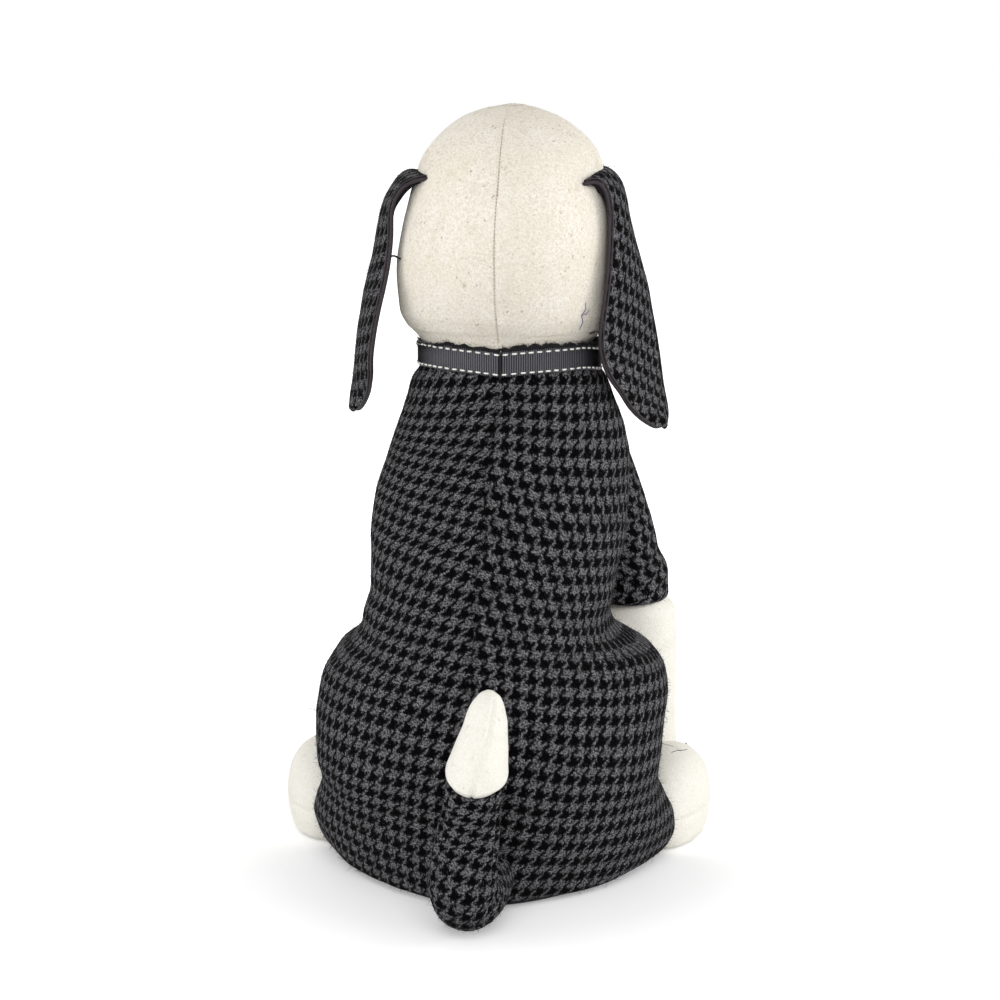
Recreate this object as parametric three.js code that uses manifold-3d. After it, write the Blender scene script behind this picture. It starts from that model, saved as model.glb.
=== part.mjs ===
// A sitting dog door stop, sewn from felt and houndstooth cloth round stuffing and a bag of sand.
// Millimetres. The dog faces +Y, its back is to -Y, its right side is +X, and it sits on z = 0.
import * as THREE from "three";
import { mergeVertices } from "three/addons/utils/BufferGeometryUtils.js";
import Module from "manifold-3d";

// Overall sizes
const bodyHeight = 200; // floor to the raw edge of the neck
const seatWidth = 138; // across the haunches
const seatDepth = 128; // twice the reach of the rump behind the middle
const headHeight = 90; // neck edge to crown
const headWidth = 82;
const headDepth = 76;

// Side seams of the body, in a plane that leans forward with the back
const sideSeamY = 30;
const sideSeamLean = 7; // degrees

// Cloth and clearances
const clothThickness = 1.6; // felt or woollen cloth
const baseThickness = 1.8; // charcoal cotton, doubled
const liningThickness = 0.9;
const seamGap = 0.3; // between pieces that are sewn or pushed together

// Neck and collar
const neckWidth = 68;
const neckDepth = 63.8;
const neckMiddleY = 42;
const neckLean = 1.2; // the neck stands a little to the right of the seat
const neckTuck = 14; // how far the head's neck reaches down inside the body's
const ribbonWidth = 10;
const ribbonThickness = 0.9;
const ribbonBelowEdge = 1.4; // the raw edge shows above the ribbon

// Head
const headMiddleY = 33;
const crownLean = 3.5; // the crown leans to the right
const muzzleLength = 71; // from the head's middle to the muzzle's end
const muzzleWidth = 50;
const muzzleDrop = 63; // crown to the middle of the muzzle
const gussetWidth = 26;
const noseWidth = 18;
const eyeDiameter = 9;
const eyeSpread = 17; // from the middle to each eye
const eyeBelowCrown = 41;

// Legs and feet
const legWidth = 34.6;
const legInset = 4.973; // from the chest's side in to each foreleg's middle
const legShift = 5; // both forelegs are sewn a little to the right
const legMiddleY = 62;
const shoulderMiddleY = 47;
const shoulderInset = 15.473; // the forelegs' tops lie further in
const legTop = 154;
const sleeveEnd = 93; // height of the sleeve's lower edge
const pawLength = 33; // forward from the leg's middle
const footLength = 62;
const footWidth = 38;
const footHeight = 37;
const footInset = 3; // from the haunch's side in to each hind foot's middle
const footShift = -2.5; // both hind feet lie a little to the left
const footMiddleY = 45;
const footTurn = 12; // degrees outward

// Ears
const earLength = 104;
const earWidth = 47;
const earTurn = 17; // degrees that the outer face turns rearward
const earTop = 265;
const earRootX = 33;
const earMiddleY = 34;
const earTipForward = 14; // the tip hangs in front of the ear's middle

// Tail
const tailDiameter = 23.4;
const tailLift = 0.8; // between the tail and the floor
const tailRootY = -46; // inside the rump
const tailReach = 95; // from the middle to the tail's centreline, rearward
const tailHeight = 90;
const tailSeam = 51; // height where the felt tip starts
const tailLean = 6; // the tip leans to the right

// Weight
const bagHeight = 32;
const bagInset = 3; // between the bag and the body's cover

// Rows of an outline: height, half width, back and front. Heights are shares of the piece's height,
// widths of half its width, and back and front of half its depth from its middle.
const bodyOutline = [
  [0, 0.61, -0.64, 0.53],
  [0.01, 0.725, -0.735, 0.62],
  [0.027, 0.83, -0.82, 0.69],
  [0.05, 0.92, -0.9, 0.74],
  [0.09, 0.995, -0.965, 0.78],
  [0.165, 0.965, -0.985, 0.8],
  [0.3, 0.98, -1, 0.83],
  [0.375, 0.955, -0.955, 0.86],
  [0.43, 0.87, -0.875, 0.89],
  [0.48, 0.745, -0.78, 0.94],
  [0.53, 0.7, -0.655, 0.985],
  [0.63, 0.717, -0.455, 1.09],
  [0.705, 0.71, -0.33, 1.155],
  [0.76, 0.675, -0.22, 1.19],
  [0.82, 0.623, -0.08, 1.2],
  [0.88, 0.553, 0.07, 1.195],
];
const headOutline = [
  [0.035, 0.865, -0.66, 1.03],
  [0.11, 0.968, -0.79, 1.02],
  [0.28, 1, -0.947, 0.97],
  [0.42, 0.98, -1, 0.92],
  [0.56, 0.934, -0.987, 0.895],
  [0.68, 0.878, -0.895, 0.816],
  [0.78, 0.805, -0.763, 0.71],
  [0.87, 0.66, -0.58, 0.55],
  [0.94, 0.45, -0.37, 0.34],
  [0.985, 0.22, -0.18, 0.17],
  [1, 0.05, -0.04, 0.04],
];
// Along the muzzle: share of its length, half width, and top and bottom from its middle.
const muzzleOutline = [
  [0.3, 1, -0.9, 0.95],
  [0.52, 1, -0.95, 0.8],
  [0.74, 0.88, -0.85, 0.55],
  [0.9, 0.72, -0.72, 0.35],
  [0.98, 0.45, -0.45, 0.12],
  [1, 0.15, -0.2, -0.05],
];

// Points around each kind of ring
const bodyAround = 24;
const headAround = 20;
const muzzleAround = 14;
const legAround = 12;
const footAround = 14;
const tailAround = 12;

const neckJoin = 0.93; // share of the body's height where the neck runs straight
const seatPower = 2.3; // the seat is squarer than a circle
const roundPower = 2;
const squareFrom = 20; // height where the rounded bottom has become that square

const wasm = await Module();
wasm.setup();

function toSolid(geometry) {
  const bare = geometry.clone();
  bare.deleteAttribute("normal");
  bare.deleteAttribute("uv");
  const merged = mergeVertices(bare, 1e-3);
  return new wasm.Manifold(
    new wasm.Mesh({
      numProp: 3,
      vertProperties: merged.attributes.position.array,
      triVerts: new Uint32Array(merged.index.array),
    }),
  );
}

function toGeometry(solid) {
  const { vertProperties, triVerts } = solid.getMesh();
  const geometry = new THREE.BufferGeometry();
  geometry.setAttribute("position", new THREE.BufferAttribute(vertProperties, 3));
  geometry.setIndex(new THREE.BufferAttribute(triVerts, 1));
  return geometry;
}

// A closed surface over rings of the same number of points, each end closed by a fan.
function loft(rings) {
  const around = rings[0].length;
  const points = rings.flat();
  const sumOf = (ring) => ring.reduce((sum, p) => sum.add(p), new THREE.Vector3());
  const middleOf = (ring) => sumOf(ring).divideScalar(around);
  const first = points.length;
  points.push(middleOf(rings[0]), middleOf(rings[rings.length - 1]));
  const triangles = [];
  for (let i = 0; i < around; i++) {
    const next = (i + 1) % around;
    for (let row = 0; row < rings.length - 1; row++) {
      const low = row * around;
      const high = low + around;
      triangles.push(low + i, low + next, high + next, low + i, high + next, high + i);
    }
    const top = (rings.length - 1) * around;
    triangles.push(first, next, i, first + 1, top + i, top + next);
  }
  const geometry = new THREE.BufferGeometry().setFromPoints(points);
  geometry.setIndex(triangles);
  return toSolid(geometry);
}

// A level ring, counter-clockwise from above, between back and front.
function levelRing(halfWidth, back, front, z, power, around, middleX = 0) {
  const middleY = (back + front) / 2;
  const halfDepth = (front - back) / 2;
  const bulge = (value) => Math.sign(value) * Math.abs(value) ** (2 / power);
  return Array.from({ length: around }, (_, i) => {
    const angle = ((i + 0.5) / around) * 2 * Math.PI;
    const x = middleX + halfWidth * bulge(Math.cos(angle));
    return new THREE.Vector3(x, middleY + halfDepth * bulge(Math.sin(angle)), z);
  });
}

function block(low, high) {
  const size = high.map((value, i) => value - low[i]);
  const geometry = new THREE.BoxGeometry(...size);
  geometry.translate(...high.map((value, i) => (value + low[i]) / 2));
  return toSolid(geometry);
}

const far = 400; // larger than the dog
const rightHalf = block([seamGap / 2, -far, -far], [far, far, far]);
const leftHalf = block([-far, -far, -far], [-seamGap / 2, far, far]);
const half = { right: rightHalf, left: leftHalf };
const above = (z) => block([-far, -far, z], [far, far, far]);
const below = (z) => block([-far, -far, -far], [far, far, z]);

// Body: the cover's outside set in by a distance, from one height to another.
const neckRow = [neckWidth / 2, neckMiddleY - neckDepth / 2, neckMiddleY + neckDepth / 2];
const bodyRows = bodyOutline
  .map(([height, halfWidth, back, front]) => [
    height * bodyHeight,
    (halfWidth * seatWidth) / 2,
    (back * seatDepth) / 2,
    (front * seatDepth) / 2,
  ])
  .concat([[neckJoin * bodyHeight, ...neckRow], [bodyHeight, ...neckRow]]);

function bodyRing(height, inset) {
  const level = Math.min(Math.max(height, 0), bodyHeight);
  const next = Math.max(1, bodyRows.findIndex((row) => row[0] >= level));
  const [lower, upper] = [bodyRows[next - 1], bodyRows[next]];
  const t = (level - lower[0]) / (upper[0] - lower[0]);
  const [halfWidth, back, front] = [1, 2, 3].map((i) => lower[i] + (upper[i] - lower[i]) * t);
  const straight = Math.min(1, level / (neckJoin * bodyHeight));
  const square = Math.min(1, level / squareFrom) * (1 - straight);
  const power = roundPower + (seatPower - roundPower) * square;
  const middleX = neckLean * straight ** 2;
  return levelRing(halfWidth - inset, back + inset, front - inset, height, power, bodyAround, middleX);
}

function bodyLoft(inset, from = 0, to = bodyHeight) {
  const between = bodyRows.map((row) => row[0]).filter((height) => height > from && height < to);
  return loft([from, ...between, to].map((height) => bodyRing(height, inset)));
}

const bodyOutside = bodyLoft(0);
const bodyClear = bodyLoft(-seamGap); // what is sewn onto the body keeps off this
const coverBottom = baseThickness + seamGap;
const bodyCover = bodyOutside
  .intersect(above(coverBottom))
  .subtract(bodyLoft(clothThickness, -1, bodyHeight + 1));

// What lies in front of the plane of the side seams.
function frontOf(offset) {
  const geometry = new THREE.BoxGeometry(far, far, 2 * far);
  geometry.translate(0, far / 2, 0);
  geometry.rotateX(THREE.MathUtils.degToRad(-sideSeamLean));
  geometry.translate(0, sideSeamY + offset, 0);
  return toSolid(geometry);
}
const backCover = bodyCover.subtract(frontOf(0));

const headNeckWidth = neckWidth - 2 * (clothThickness + seamGap);
const headNeckDepth = neckDepth - 2 * (clothThickness + seamGap);
const headBottom = bodyHeight - neckTuck;
const stuffingInset = clothThickness + seamGap;
const bagTop = coverBottom + bagHeight;

// Head: a skull with a muzzle, both set in by a distance.
const crown = bodyHeight + headHeight;
function skull(inset, bottom) {
  const neckRing = (z) => {
    const reach = headNeckDepth / 2 - inset;
    const halfNeck = headNeckWidth / 2 - inset;
    return levelRing(halfNeck, neckMiddleY - reach, neckMiddleY + reach, z, roundPower, headAround, neckLean);
  };
  const rows = headOutline.map(([height, halfWidth, back, front], i) => {
    const shrink = (value, half) => value * (half - inset);
    const lift = i > headOutline.length / 2 ? inset * (height - 0.6) * 2.5 : 0;
    return levelRing(
      shrink(halfWidth, headWidth / 2),
      headMiddleY + shrink(back, headDepth / 2),
      headMiddleY + shrink(front, headDepth / 2),
      bodyHeight + height * headHeight - lift,
      roundPower,
      headAround,
      crownLean * height ** 2,
    );
  });
  return loft([neckRing(bottom), neckRing(bodyHeight), ...rows]);
}

function muzzle(inset) {
  const halfWidth = muzzleWidth / 2 - inset;
  const rings = muzzleOutline.map(([along, width, low, high]) => {
    const y = headMiddleY + along * muzzleLength - inset * (along > 0.6 ? 1 : 0);
    return Array.from({ length: muzzleAround }, (_, i) => {
      const angle = (-(i + 0.5) / muzzleAround) * 2 * Math.PI;
      const middle = ((low + high) / 2) * halfWidth;
      const reach = ((high - low) / 2) * halfWidth;
      const z = crown - muzzleDrop + middle + reach * Math.sin(angle);
      return new THREE.Vector3(width * halfWidth * Math.cos(angle), y, z);
    });
  });
  return loft(rings);
}

const headSolid = (inset, bottom = headBottom) => skull(inset, bottom).add(muzzle(inset));
const headClear = headSolid(-seamGap).intersect(above(bodyHeight));
const headCover = headSolid(0).subtract(headSolid(clothThickness, headBottom - 1));
const gussetLow = crown - muzzleDrop + 3;
const gussetBlock = (grow) => {
  const halfGusset = gussetWidth / 2 + grow;
  return block([-halfGusset, headMiddleY + 3 - grow, gussetLow - grow], [halfGusset, far, far]);
};

// Forelegs: level rings from the sole to the shoulder. Rows are height, half width, back and front.
const chestHalfWidth = bodyRows[11][1]; // where the sleeves lie against the body
const legSpread = chestHalfWidth - legInset;
const shoulderSpread = chestHalfWidth - shoulderInset;
const legStraightTo = 0.8 * sleeveEnd; // above this the legs lean towards the shoulders
function legRings(side, inset) {
  const radius = legWidth / 2;
  const rows = [
    [0, 0.85 * radius, 0.8 * radius, 0.78 * pawLength],
    [6, 1.05 * radius, radius, 0.96 * pawLength],
    [14, 1.12 * radius, 1.03 * radius, pawLength],
    [24, 1.06 * radius, radius, 0.84 * pawLength],
    [33, radius, radius, 1.1 * radius],
    [48, radius, radius, radius],
    [legStraightTo, radius, radius, radius],
    [sleeveEnd, 0.92 * radius, 0.95 * radius, 0.95 * radius],
    [0.85 * legTop, 0.75 * radius, 0.85 * radius, 0.85 * radius],
    [legTop, 0.4 * radius, 0.5 * radius, 0.5 * radius],
  ];
  return rows.map(([z, halfWidth, back, front]) => {
    const climb = Math.max(0, z - legStraightTo) / (legTop - legStraightTo);
    const middleX = side * (legSpread + (shoulderSpread - legSpread) * climb) + legShift;
    const middleY = legMiddleY + (shoulderMiddleY - legMiddleY) * climb;
    const height = z === legTop ? z - inset : z;
    return levelRing(
      halfWidth - inset,
      middleY - back + inset,
      middleY + front - inset,
      height,
      roundPower,
      legAround,
      middleX,
    );
  });
}

function foreleg(side) {
  const filling = (inset) => loft(legRings(side, inset)).intersect(above(inset));
  const cover = loft(legRings(side, 0)).subtract(filling(clothThickness)).subtract(bodyClear);
  const felt = cover.intersect(below(sleeveEnd - seamGap));
  const sleeve = cover.intersect(above(sleeveEnd));
  return { felt, sleeve, stuffing: filling(stuffingInset).subtract(bodyClear) };
}

// Hind feet: rounded pads beside the haunches, turned outward and cut to the body.
const footSpread = seatWidth / 2 - footInset;
function hindFoot(side) {
  const rows = [
    [0, 0.8],
    [0.12, 0.93],
    [0.35, 1],
    [0.6, 0.93],
    [0.8, 0.75],
    [0.93, 0.48],
    [1, 0.15],
  ];
  const turn = new THREE.Matrix4().makeRotationZ(THREE.MathUtils.degToRad(-side * footTurn));
  turn.setPosition(side * footSpread + footShift, footMiddleY, 0);
  const pad = (inset) => {
    const rings = rows.map(([height, share]) => {
      const z = inset + height * (footHeight - 2 * inset);
      const halfWidth = (share * (footWidth - 2 * inset)) / 2;
      const halfLength = (share * (footLength - 2 * inset)) / 2;
      return levelRing(halfWidth, -halfLength, halfLength, z, roundPower, footAround);
    });
    return loft(rings.map((ring) => ring.map((p) => p.applyMatrix4(turn))));
  };
  const legClear = loft(legRings(side, -seamGap));
  const fit = (solid) => solid.subtract(bodyClear).subtract(legClear);
  return { felt: fit(pad(0).subtract(pad(clothThickness))), stuffing: fit(pad(stuffingInset)) };
}

// Tail: round rings along a curve that leaves the rump low and turns up.
const tailSteps = 12;
const tailTaperFrom = 0.55; // shares of the tail's length where it thins and where its end rounds off
const tailRoundFrom = 0.86;
const tailTaper = 0.34;
function tail(inset) {
  const radius = tailDiameter / 2;
  const low = radius + tailLift;
  const elbow = 1.3 * radius; // how far before the tail's reach its bend starts
  const curve = new THREE.CatmullRomCurve3([
    new THREE.Vector3(0, tailRootY, low),
    new THREE.Vector3(0, 1.3 * elbow - tailReach, low),
    new THREE.Vector3(0, 0.5 * elbow - tailReach, low + 0.27 * elbow),
    new THREE.Vector3(0, 0.09 * elbow - tailReach, low + 0.9 * elbow),
    new THREE.Vector3(0.15 * tailLean, -tailReach, 0.5 * tailHeight),
    new THREE.Vector3(0.5 * tailLean, 3 - tailReach, 0.75 * tailHeight),
    new THREE.Vector3(tailLean, 11 - tailReach, tailHeight),
  ]);
  const frames = curve.computeFrenetFrames(tailSteps, false);
  const rings = [];
  for (let step = 0; step <= tailSteps; step++) {
    const t = step / tailSteps;
    const thinning = Math.max(0, (t - tailTaperFrom) / (1 - tailTaperFrom));
    const ending = Math.max(0, (t - tailRoundFrom) / (1 - tailRoundFrom));
    const taper = 1 - tailTaper * thinning ** 1.5;
    const round = Math.sqrt(Math.max(0.03, 1 - ending ** 2));
    const middle = curve.getPointAt(t).addScaledVector(frames.tangents[step], t === 1 ? -inset : 0);
    const size = Math.max(0.6, (radius * taper - inset) * round);
    rings.push(
      Array.from({ length: tailAround }, (_, i) => {
        const angle = (i / tailAround) * 2 * Math.PI;
        return middle
          .clone()
          .addScaledVector(frames.normals[step], size * Math.cos(angle))
          .addScaledVector(frames.binormals[step], size * Math.sin(angle));
      }),
    );
  }
  return loft(rings);
}

// Ears: a curved leaf that hangs from the side of the head. low and high are offsets from its middle face.
const earAcross = 5;
const earDown = 8;
const earRoundFrom = 0.7; // share of its length where the leaf's end rounds off
const earReach = 23; // how far the leaf swings out from its root
function ear(side, low, high) {
  const turn = THREE.MathUtils.degToRad(earTurn);
  const halfWidthAt = (t) => {
    const opening = 0.3 + 0.75 * Math.sin(Math.min(1, 1.22 * t) * 0.5 * Math.PI);
    const ending = Math.max(0, (t - earRoundFrom) / (1 - earRoundFrom));
    const rounding = Math.sqrt(Math.max(0.04, 1 - ending ** 2));
    return (earWidth / 2) * opening * rounding;
  };
  const pointAt = (u, t, offset) => {
    const out = earRootX - 3 + earReach * Math.sin(Math.min(1, 0.08 + t) * 0.5 * Math.PI);
    const width = u * halfWidthAt(t);
    const sway = earTipForward * Math.max(0, (t - 0.35) / 0.65) ** 1.5;
    const forward = earMiddleY + 4 * t + (sway + width) * Math.cos(turn);
    const x = out + (sway + width) * Math.sin(turn) + offset;
    const z = earTop + 3 - 6 * (1 - Math.min(1, t / 0.08)) ** 2 - earLength * t - 0.1 * width * t;
    return new THREE.Vector3(side * x, forward, z);
  };
  const rings = [];
  for (let row = 0; row <= earDown; row++) {
    const t = row / earDown;
    const ring = [];
    for (let i = 0; i <= earAcross; i++) ring.push(pointAt((2 * i) / earAcross - 1, t, high));
    for (let i = earAcross; i >= 0; i--) ring.push(pointAt((2 * i) / earAcross - 1, t, low));
    rings.push(side > 0 ? ring.reverse() : ring);
  }
  return loft(rings).subtract(headClear);
}

// Small hard pieces, cut to sit on the felt.
function bead(diameters, middle) {
  const geometry = new THREE.SphereGeometry(0.5, 12, 8);
  geometry.rotateX(Math.PI / 2);
  geometry.scale(...diameters);
  geometry.translate(...middle);
  return toSolid(geometry).subtract(headClear);
}

const group = new THREE.Group();
const looks = {
  houndstooth: { color: 0x333233, roughness: 0.95 },
  felt: { color: 0xf0e9dc, roughness: 0.95 },
  lining: { color: 0x4a4042, roughness: 0.9 },
  ribbon: { color: 0x303136, roughness: 0.6 },
  cotton: { color: 0x2b2b2d, roughness: 0.9 },
  stuffing: { color: 0xf4f4f2, roughness: 1 },
  bag: { color: 0xcabfa6, roughness: 1 },
  bead: { color: 0x0b0b0c, roughness: 0.2 },
};

function place(name, look, solid) {
  const material = new THREE.MeshStandardMaterial({ ...looks[look], metalness: 0 });
  const mesh = new THREE.Mesh(toGeometry(solid), material);
  mesh.name = name;
  group.add(mesh);
}

for (const side of ["left", "right"]) {
  place(`back_panel_${side}`, "houndstooth", backCover.intersect(half[side]));
}
place("chest_panel", "felt", bodyCover.intersect(frontOf(seamGap)));
place("base_panel", "cotton", bodyOutside.intersect(below(baseThickness)));
place("weight_bag", "bag", bodyLoft(stuffingInset + bagInset, coverBottom, bagTop));
place("body_stuffing", "stuffing", bodyLoft(stuffingInset, bagTop + seamGap, headBottom - seamGap));

for (const side of ["left", "right"]) {
  place(`head_panel_${side}`, "felt", headCover.subtract(gussetBlock(seamGap)).intersect(half[side]));
}
place("face_gusset", "felt", headCover.intersect(gussetBlock(0)));
place("head_stuffing", "stuffing", headSolid(stuffingInset));

const nosePlace = [0, headMiddleY + muzzleLength - 1, crown - muzzleDrop + 3];
place("nose", "bead", bead([noseWidth, 0.6 * noseWidth, 0.68 * noseWidth], nosePlace));
const ribbonTop = bodyHeight - ribbonBelowEdge;
const ribbonBottom = ribbonTop - ribbonWidth;
const ribbonOutside = bodyLoft(-seamGap - ribbonThickness, ribbonBottom, ribbonTop);
const ribbonInside = bodyLoft(-seamGap, ribbonBottom - 1, ribbonTop + 1);
place("collar_ribbon", "ribbon", ribbonOutside.subtract(ribbonInside));

const tailCover = tail(0).subtract(tail(clothThickness)).subtract(bodyClear);
place("tail_sleeve", "houndstooth", tailCover.intersect(below(tailSeam - seamGap)));
place("tail_tip", "felt", tailCover.intersect(above(tailSeam)));
place("tail_stuffing", "stuffing", tail(stuffingInset).subtract(bodyClear));

for (const [name, side] of [["left", -1], ["right", 1]]) {
  const leg = foreleg(side);
  place(`sleeve_${name}`, "houndstooth", leg.sleeve);
  place(`front_leg_${name}`, "felt", leg.felt);
  place(`front_leg_stuffing_${name}`, "stuffing", leg.stuffing);
  const foot = hindFoot(side);
  place(`hind_foot_${name}`, "felt", foot.felt);
  place(`hind_foot_stuffing_${name}`, "stuffing", foot.stuffing);
  place(`ear_${name}_outer`, "houndstooth", ear(side, 0, clothThickness));
  place(`ear_${name}_lining`, "lining", ear(side, -seamGap - liningThickness, -seamGap));
  const eyePlace = [side * eyeSpread, headMiddleY + 0.82 * (headDepth / 2), crown - eyeBelowCrown];
  place(`eye_${name}`, "bead", bead([eyeDiameter, eyeDiameter, eyeDiameter], eyePlace));
}

export default group;
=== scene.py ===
import math

import bpy
import numpy as np
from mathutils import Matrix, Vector


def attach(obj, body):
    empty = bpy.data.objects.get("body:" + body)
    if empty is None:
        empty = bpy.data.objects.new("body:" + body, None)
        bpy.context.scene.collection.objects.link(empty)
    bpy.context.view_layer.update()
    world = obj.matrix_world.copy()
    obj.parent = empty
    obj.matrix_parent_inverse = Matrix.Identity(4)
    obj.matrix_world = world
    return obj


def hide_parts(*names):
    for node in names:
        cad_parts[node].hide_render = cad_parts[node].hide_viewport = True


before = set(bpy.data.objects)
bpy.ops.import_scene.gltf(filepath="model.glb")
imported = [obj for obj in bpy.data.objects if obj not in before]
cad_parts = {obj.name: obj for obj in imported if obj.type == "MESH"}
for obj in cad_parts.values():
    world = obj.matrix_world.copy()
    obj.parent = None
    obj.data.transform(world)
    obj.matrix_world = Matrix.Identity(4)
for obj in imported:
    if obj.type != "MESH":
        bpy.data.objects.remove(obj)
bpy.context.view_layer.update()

toMetres = 0.001  # the tables below are in millimetres, floor at 0, the dog faces +Y


# Curves, noise and meshes

def smoothTable(rows, overshoot=False):
    # a smooth curve through the rows of a table; the first column is the place along it
    table = np.array(rows, float)
    place, values = table[:, 0], table[:, 1:]
    gap = np.diff(place)[:, None]
    slope = np.diff(values, axis=0) / gap
    tangent = np.vstack([slope[:1], slope[:1], slope[1:]])[: len(values)]
    before, after = slope[:-1], slope[1:]
    if overshoot:
        tangent[1:-1] = (before * gap[1:] + after * gap[:-1]) / (gap[1:] + gap[:-1])
    else:
        same = before * after > 0
        tangent[1:-1] = np.where(same, 2 * before * after / np.where(same, before + after, 1), 0)
    tangent[-1] = slope[-1]

    def read(where):
        q = np.clip(np.atleast_1d(where), place[0], place[-1])
        k = np.clip(np.searchsorted(place, q, side="right") - 1, 0, len(place) - 2)
        h = gap[k]
        t = (q - place[k])[:, None] / h
        return (
            (2 * t**3 - 3 * t**2 + 1) * values[k]
            + (t**3 - 2 * t**2 + t) * h * tangent[k]
            + (3 * t**2 - 2 * t**3) * values[k + 1]
            + (t**3 - t**2) * h * tangent[k + 1]
        )

    return read


def softNoise(points, cell, seed):
    # smooth random values from -1 to 1, over cells of that size
    p = np.asarray(points, float) / cell
    low = np.floor(p).astype(np.int64)
    f = p - low
    f = f * f * (3 - 2 * f)
    total = np.zeros(p.shape[:-1])
    for corner in range(8):
        step = [(corner >> k) & 1 for k in range(3)]
        mixed = np.full(total.shape, seed * 7919 + 13, np.int64)
        weight = np.ones(total.shape)
        for k, factor in enumerate((73856093, 19349663, 83492791)):
            mixed = mixed ^ ((low[..., k] + step[k]) * factor)
            weight = weight * (f[..., k] if step[k] else 1 - f[..., k])
        mixed = (mixed ^ (mixed >> 13)) * 1274126177
        total += weight * (((mixed ^ (mixed >> 16)) & 65535) / 32767.5 - 1)
    return total


def lineNoise(along, cell, seed):
    along = np.asarray(along, float)
    return softNoise(np.stack([along, along * 0, along * 0], -1), cell, seed)


def ease(value, low, high):
    t = np.clip((np.asarray(value, float) - low) / (high - low), 0, 1)
    return t * t * (3 - 2 * t)


def hump(distance, width):
    # a smooth rise that is 1 at no distance
    return np.exp(-((distance / width) ** 2))


def uneven(grid, swells):
    # how far cloth swells out over its stuffing: height, cell and seed of each layer of noise
    return sum(height * softNoise(grid, cell, seed) for height, cell, seed in swells)


def around(count):
    return np.linspace(0, 2 * math.pi, count, endpoint=False)


def stepsOf(line):
    return np.linalg.norm(np.diff(line, axis=0), axis=1)


def runOf(steps):
    # how far along a line each of its points is, from the steps between them
    return np.concatenate([[0], np.cumsum(steps)])


def evenPlaces(steps, place, count):
    # places that are evenly apart, where the steps between the given places vary
    run = runOf(steps)
    return np.interp(np.linspace(0, run[-1], count), run, place)


def unitOf(vectors):
    return vectors / np.linalg.norm(vectors, axis=-1, keepdims=True)


def signedPower(value, power):
    return np.sign(value) * np.abs(value) ** power


def turned(x, y, angle):
    c, s = math.cos(angle), math.sin(angle)
    return x * c - y * s, x * s + y * c


def gridNormals(grid, closed=False):
    # columns run counter-clockwise and rows upward, so these point outward
    if closed:
        across = np.roll(grid, -1, 1) - np.roll(grid, 1, 1)
    else:
        across = np.gradient(grid, axis=1)
    normal = np.cross(across, np.gradient(grid, axis=0))
    return normal / (np.linalg.norm(normal, axis=-1, keepdims=True) + 1e-9)


def evenly(line, shares):
    # points at those shares of a line's length, and how far along each one is
    run = runOf(stepsOf(line))
    place = np.asarray(shares) * run[-1]
    return np.stack([np.interp(place, run, line[:, k]) for k in range(3)], 1), place


def closerAtEnds(count, pull=0.5):
    c = np.linspace(0, 1, count)
    return c - pull * np.sin(2 * math.pi * c) / (2 * math.pi)


def meshPiece(name, points, faces, uv=None):
    mesh = bpy.data.meshes.new(name)
    mesh.from_pydata((np.asarray(points) * toMetres).tolist(), [], [list(map(int, f)) for f in faces])
    if uv is not None:
        layer = mesh.uv_layers.new(name="cloth")
        layer.data.foreach_set("uv", (np.asarray(uv, np.float32) * toMetres).ravel())
    mesh.shade_smooth()
    piece = bpy.data.objects.new(name, mesh)
    bpy.context.scene.collection.objects.link(piece)
    return piece


def cornersOf(grid, faces):
    corners = np.concatenate(faces)
    rows, cols = grid.shape[:2]
    index = corners[..., 0] * rows * cols + corners[..., 1] * cols + corners[..., 2] % cols
    return corners, index


def quad(*corners):
    return np.stack([np.stack(np.broadcast_arrays(*c), -1) for c in corners], 1)


def clothSheet(name, grid, uv, thickness=1.3, closed=False, inner=None):
    # a cloth with an outer and an inner face and its edges closed between them
    rows, cols = grid.shape[:2]
    if inner is None:
        inner = grid - gridNormals(grid, closed) * thickness
    wide = cols if closed else cols - 1
    r, c = [a.ravel() for a in np.meshgrid(np.arange(rows - 1), np.arange(wide), indexing="ij")]
    k, top = np.arange(wide), rows - 1
    faces = [
        quad((0, r, c), (0, r, c + 1), (0, r + 1, c + 1), (0, r + 1, c)),
        quad((1, r, c), (1, r + 1, c), (1, r + 1, c + 1), (1, r, c + 1)),
        quad((0, 0, k), (1, 0, k), (1, 0, k + 1), (0, 0, k + 1)),
        quad((0, top, k), (0, top, k + 1), (1, top, k + 1), (1, top, k)),
    ]
    if not closed:
        k, last = np.arange(rows - 1), cols - 1
        faces.append(quad((0, k, 0), (0, k + 1, 0), (1, k + 1, 0), (1, k, 0)))
        faces.append(quad((0, k, last), (1, k, last), (1, k + 1, last), (0, k + 1, last)))
    corners, index = cornersOf(grid, faces)
    points = np.concatenate([grid.reshape(-1, 3), inner.reshape(-1, 3)])
    return meshPiece(name, points, index, uv[corners[..., 1], corners[..., 2]])


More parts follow.
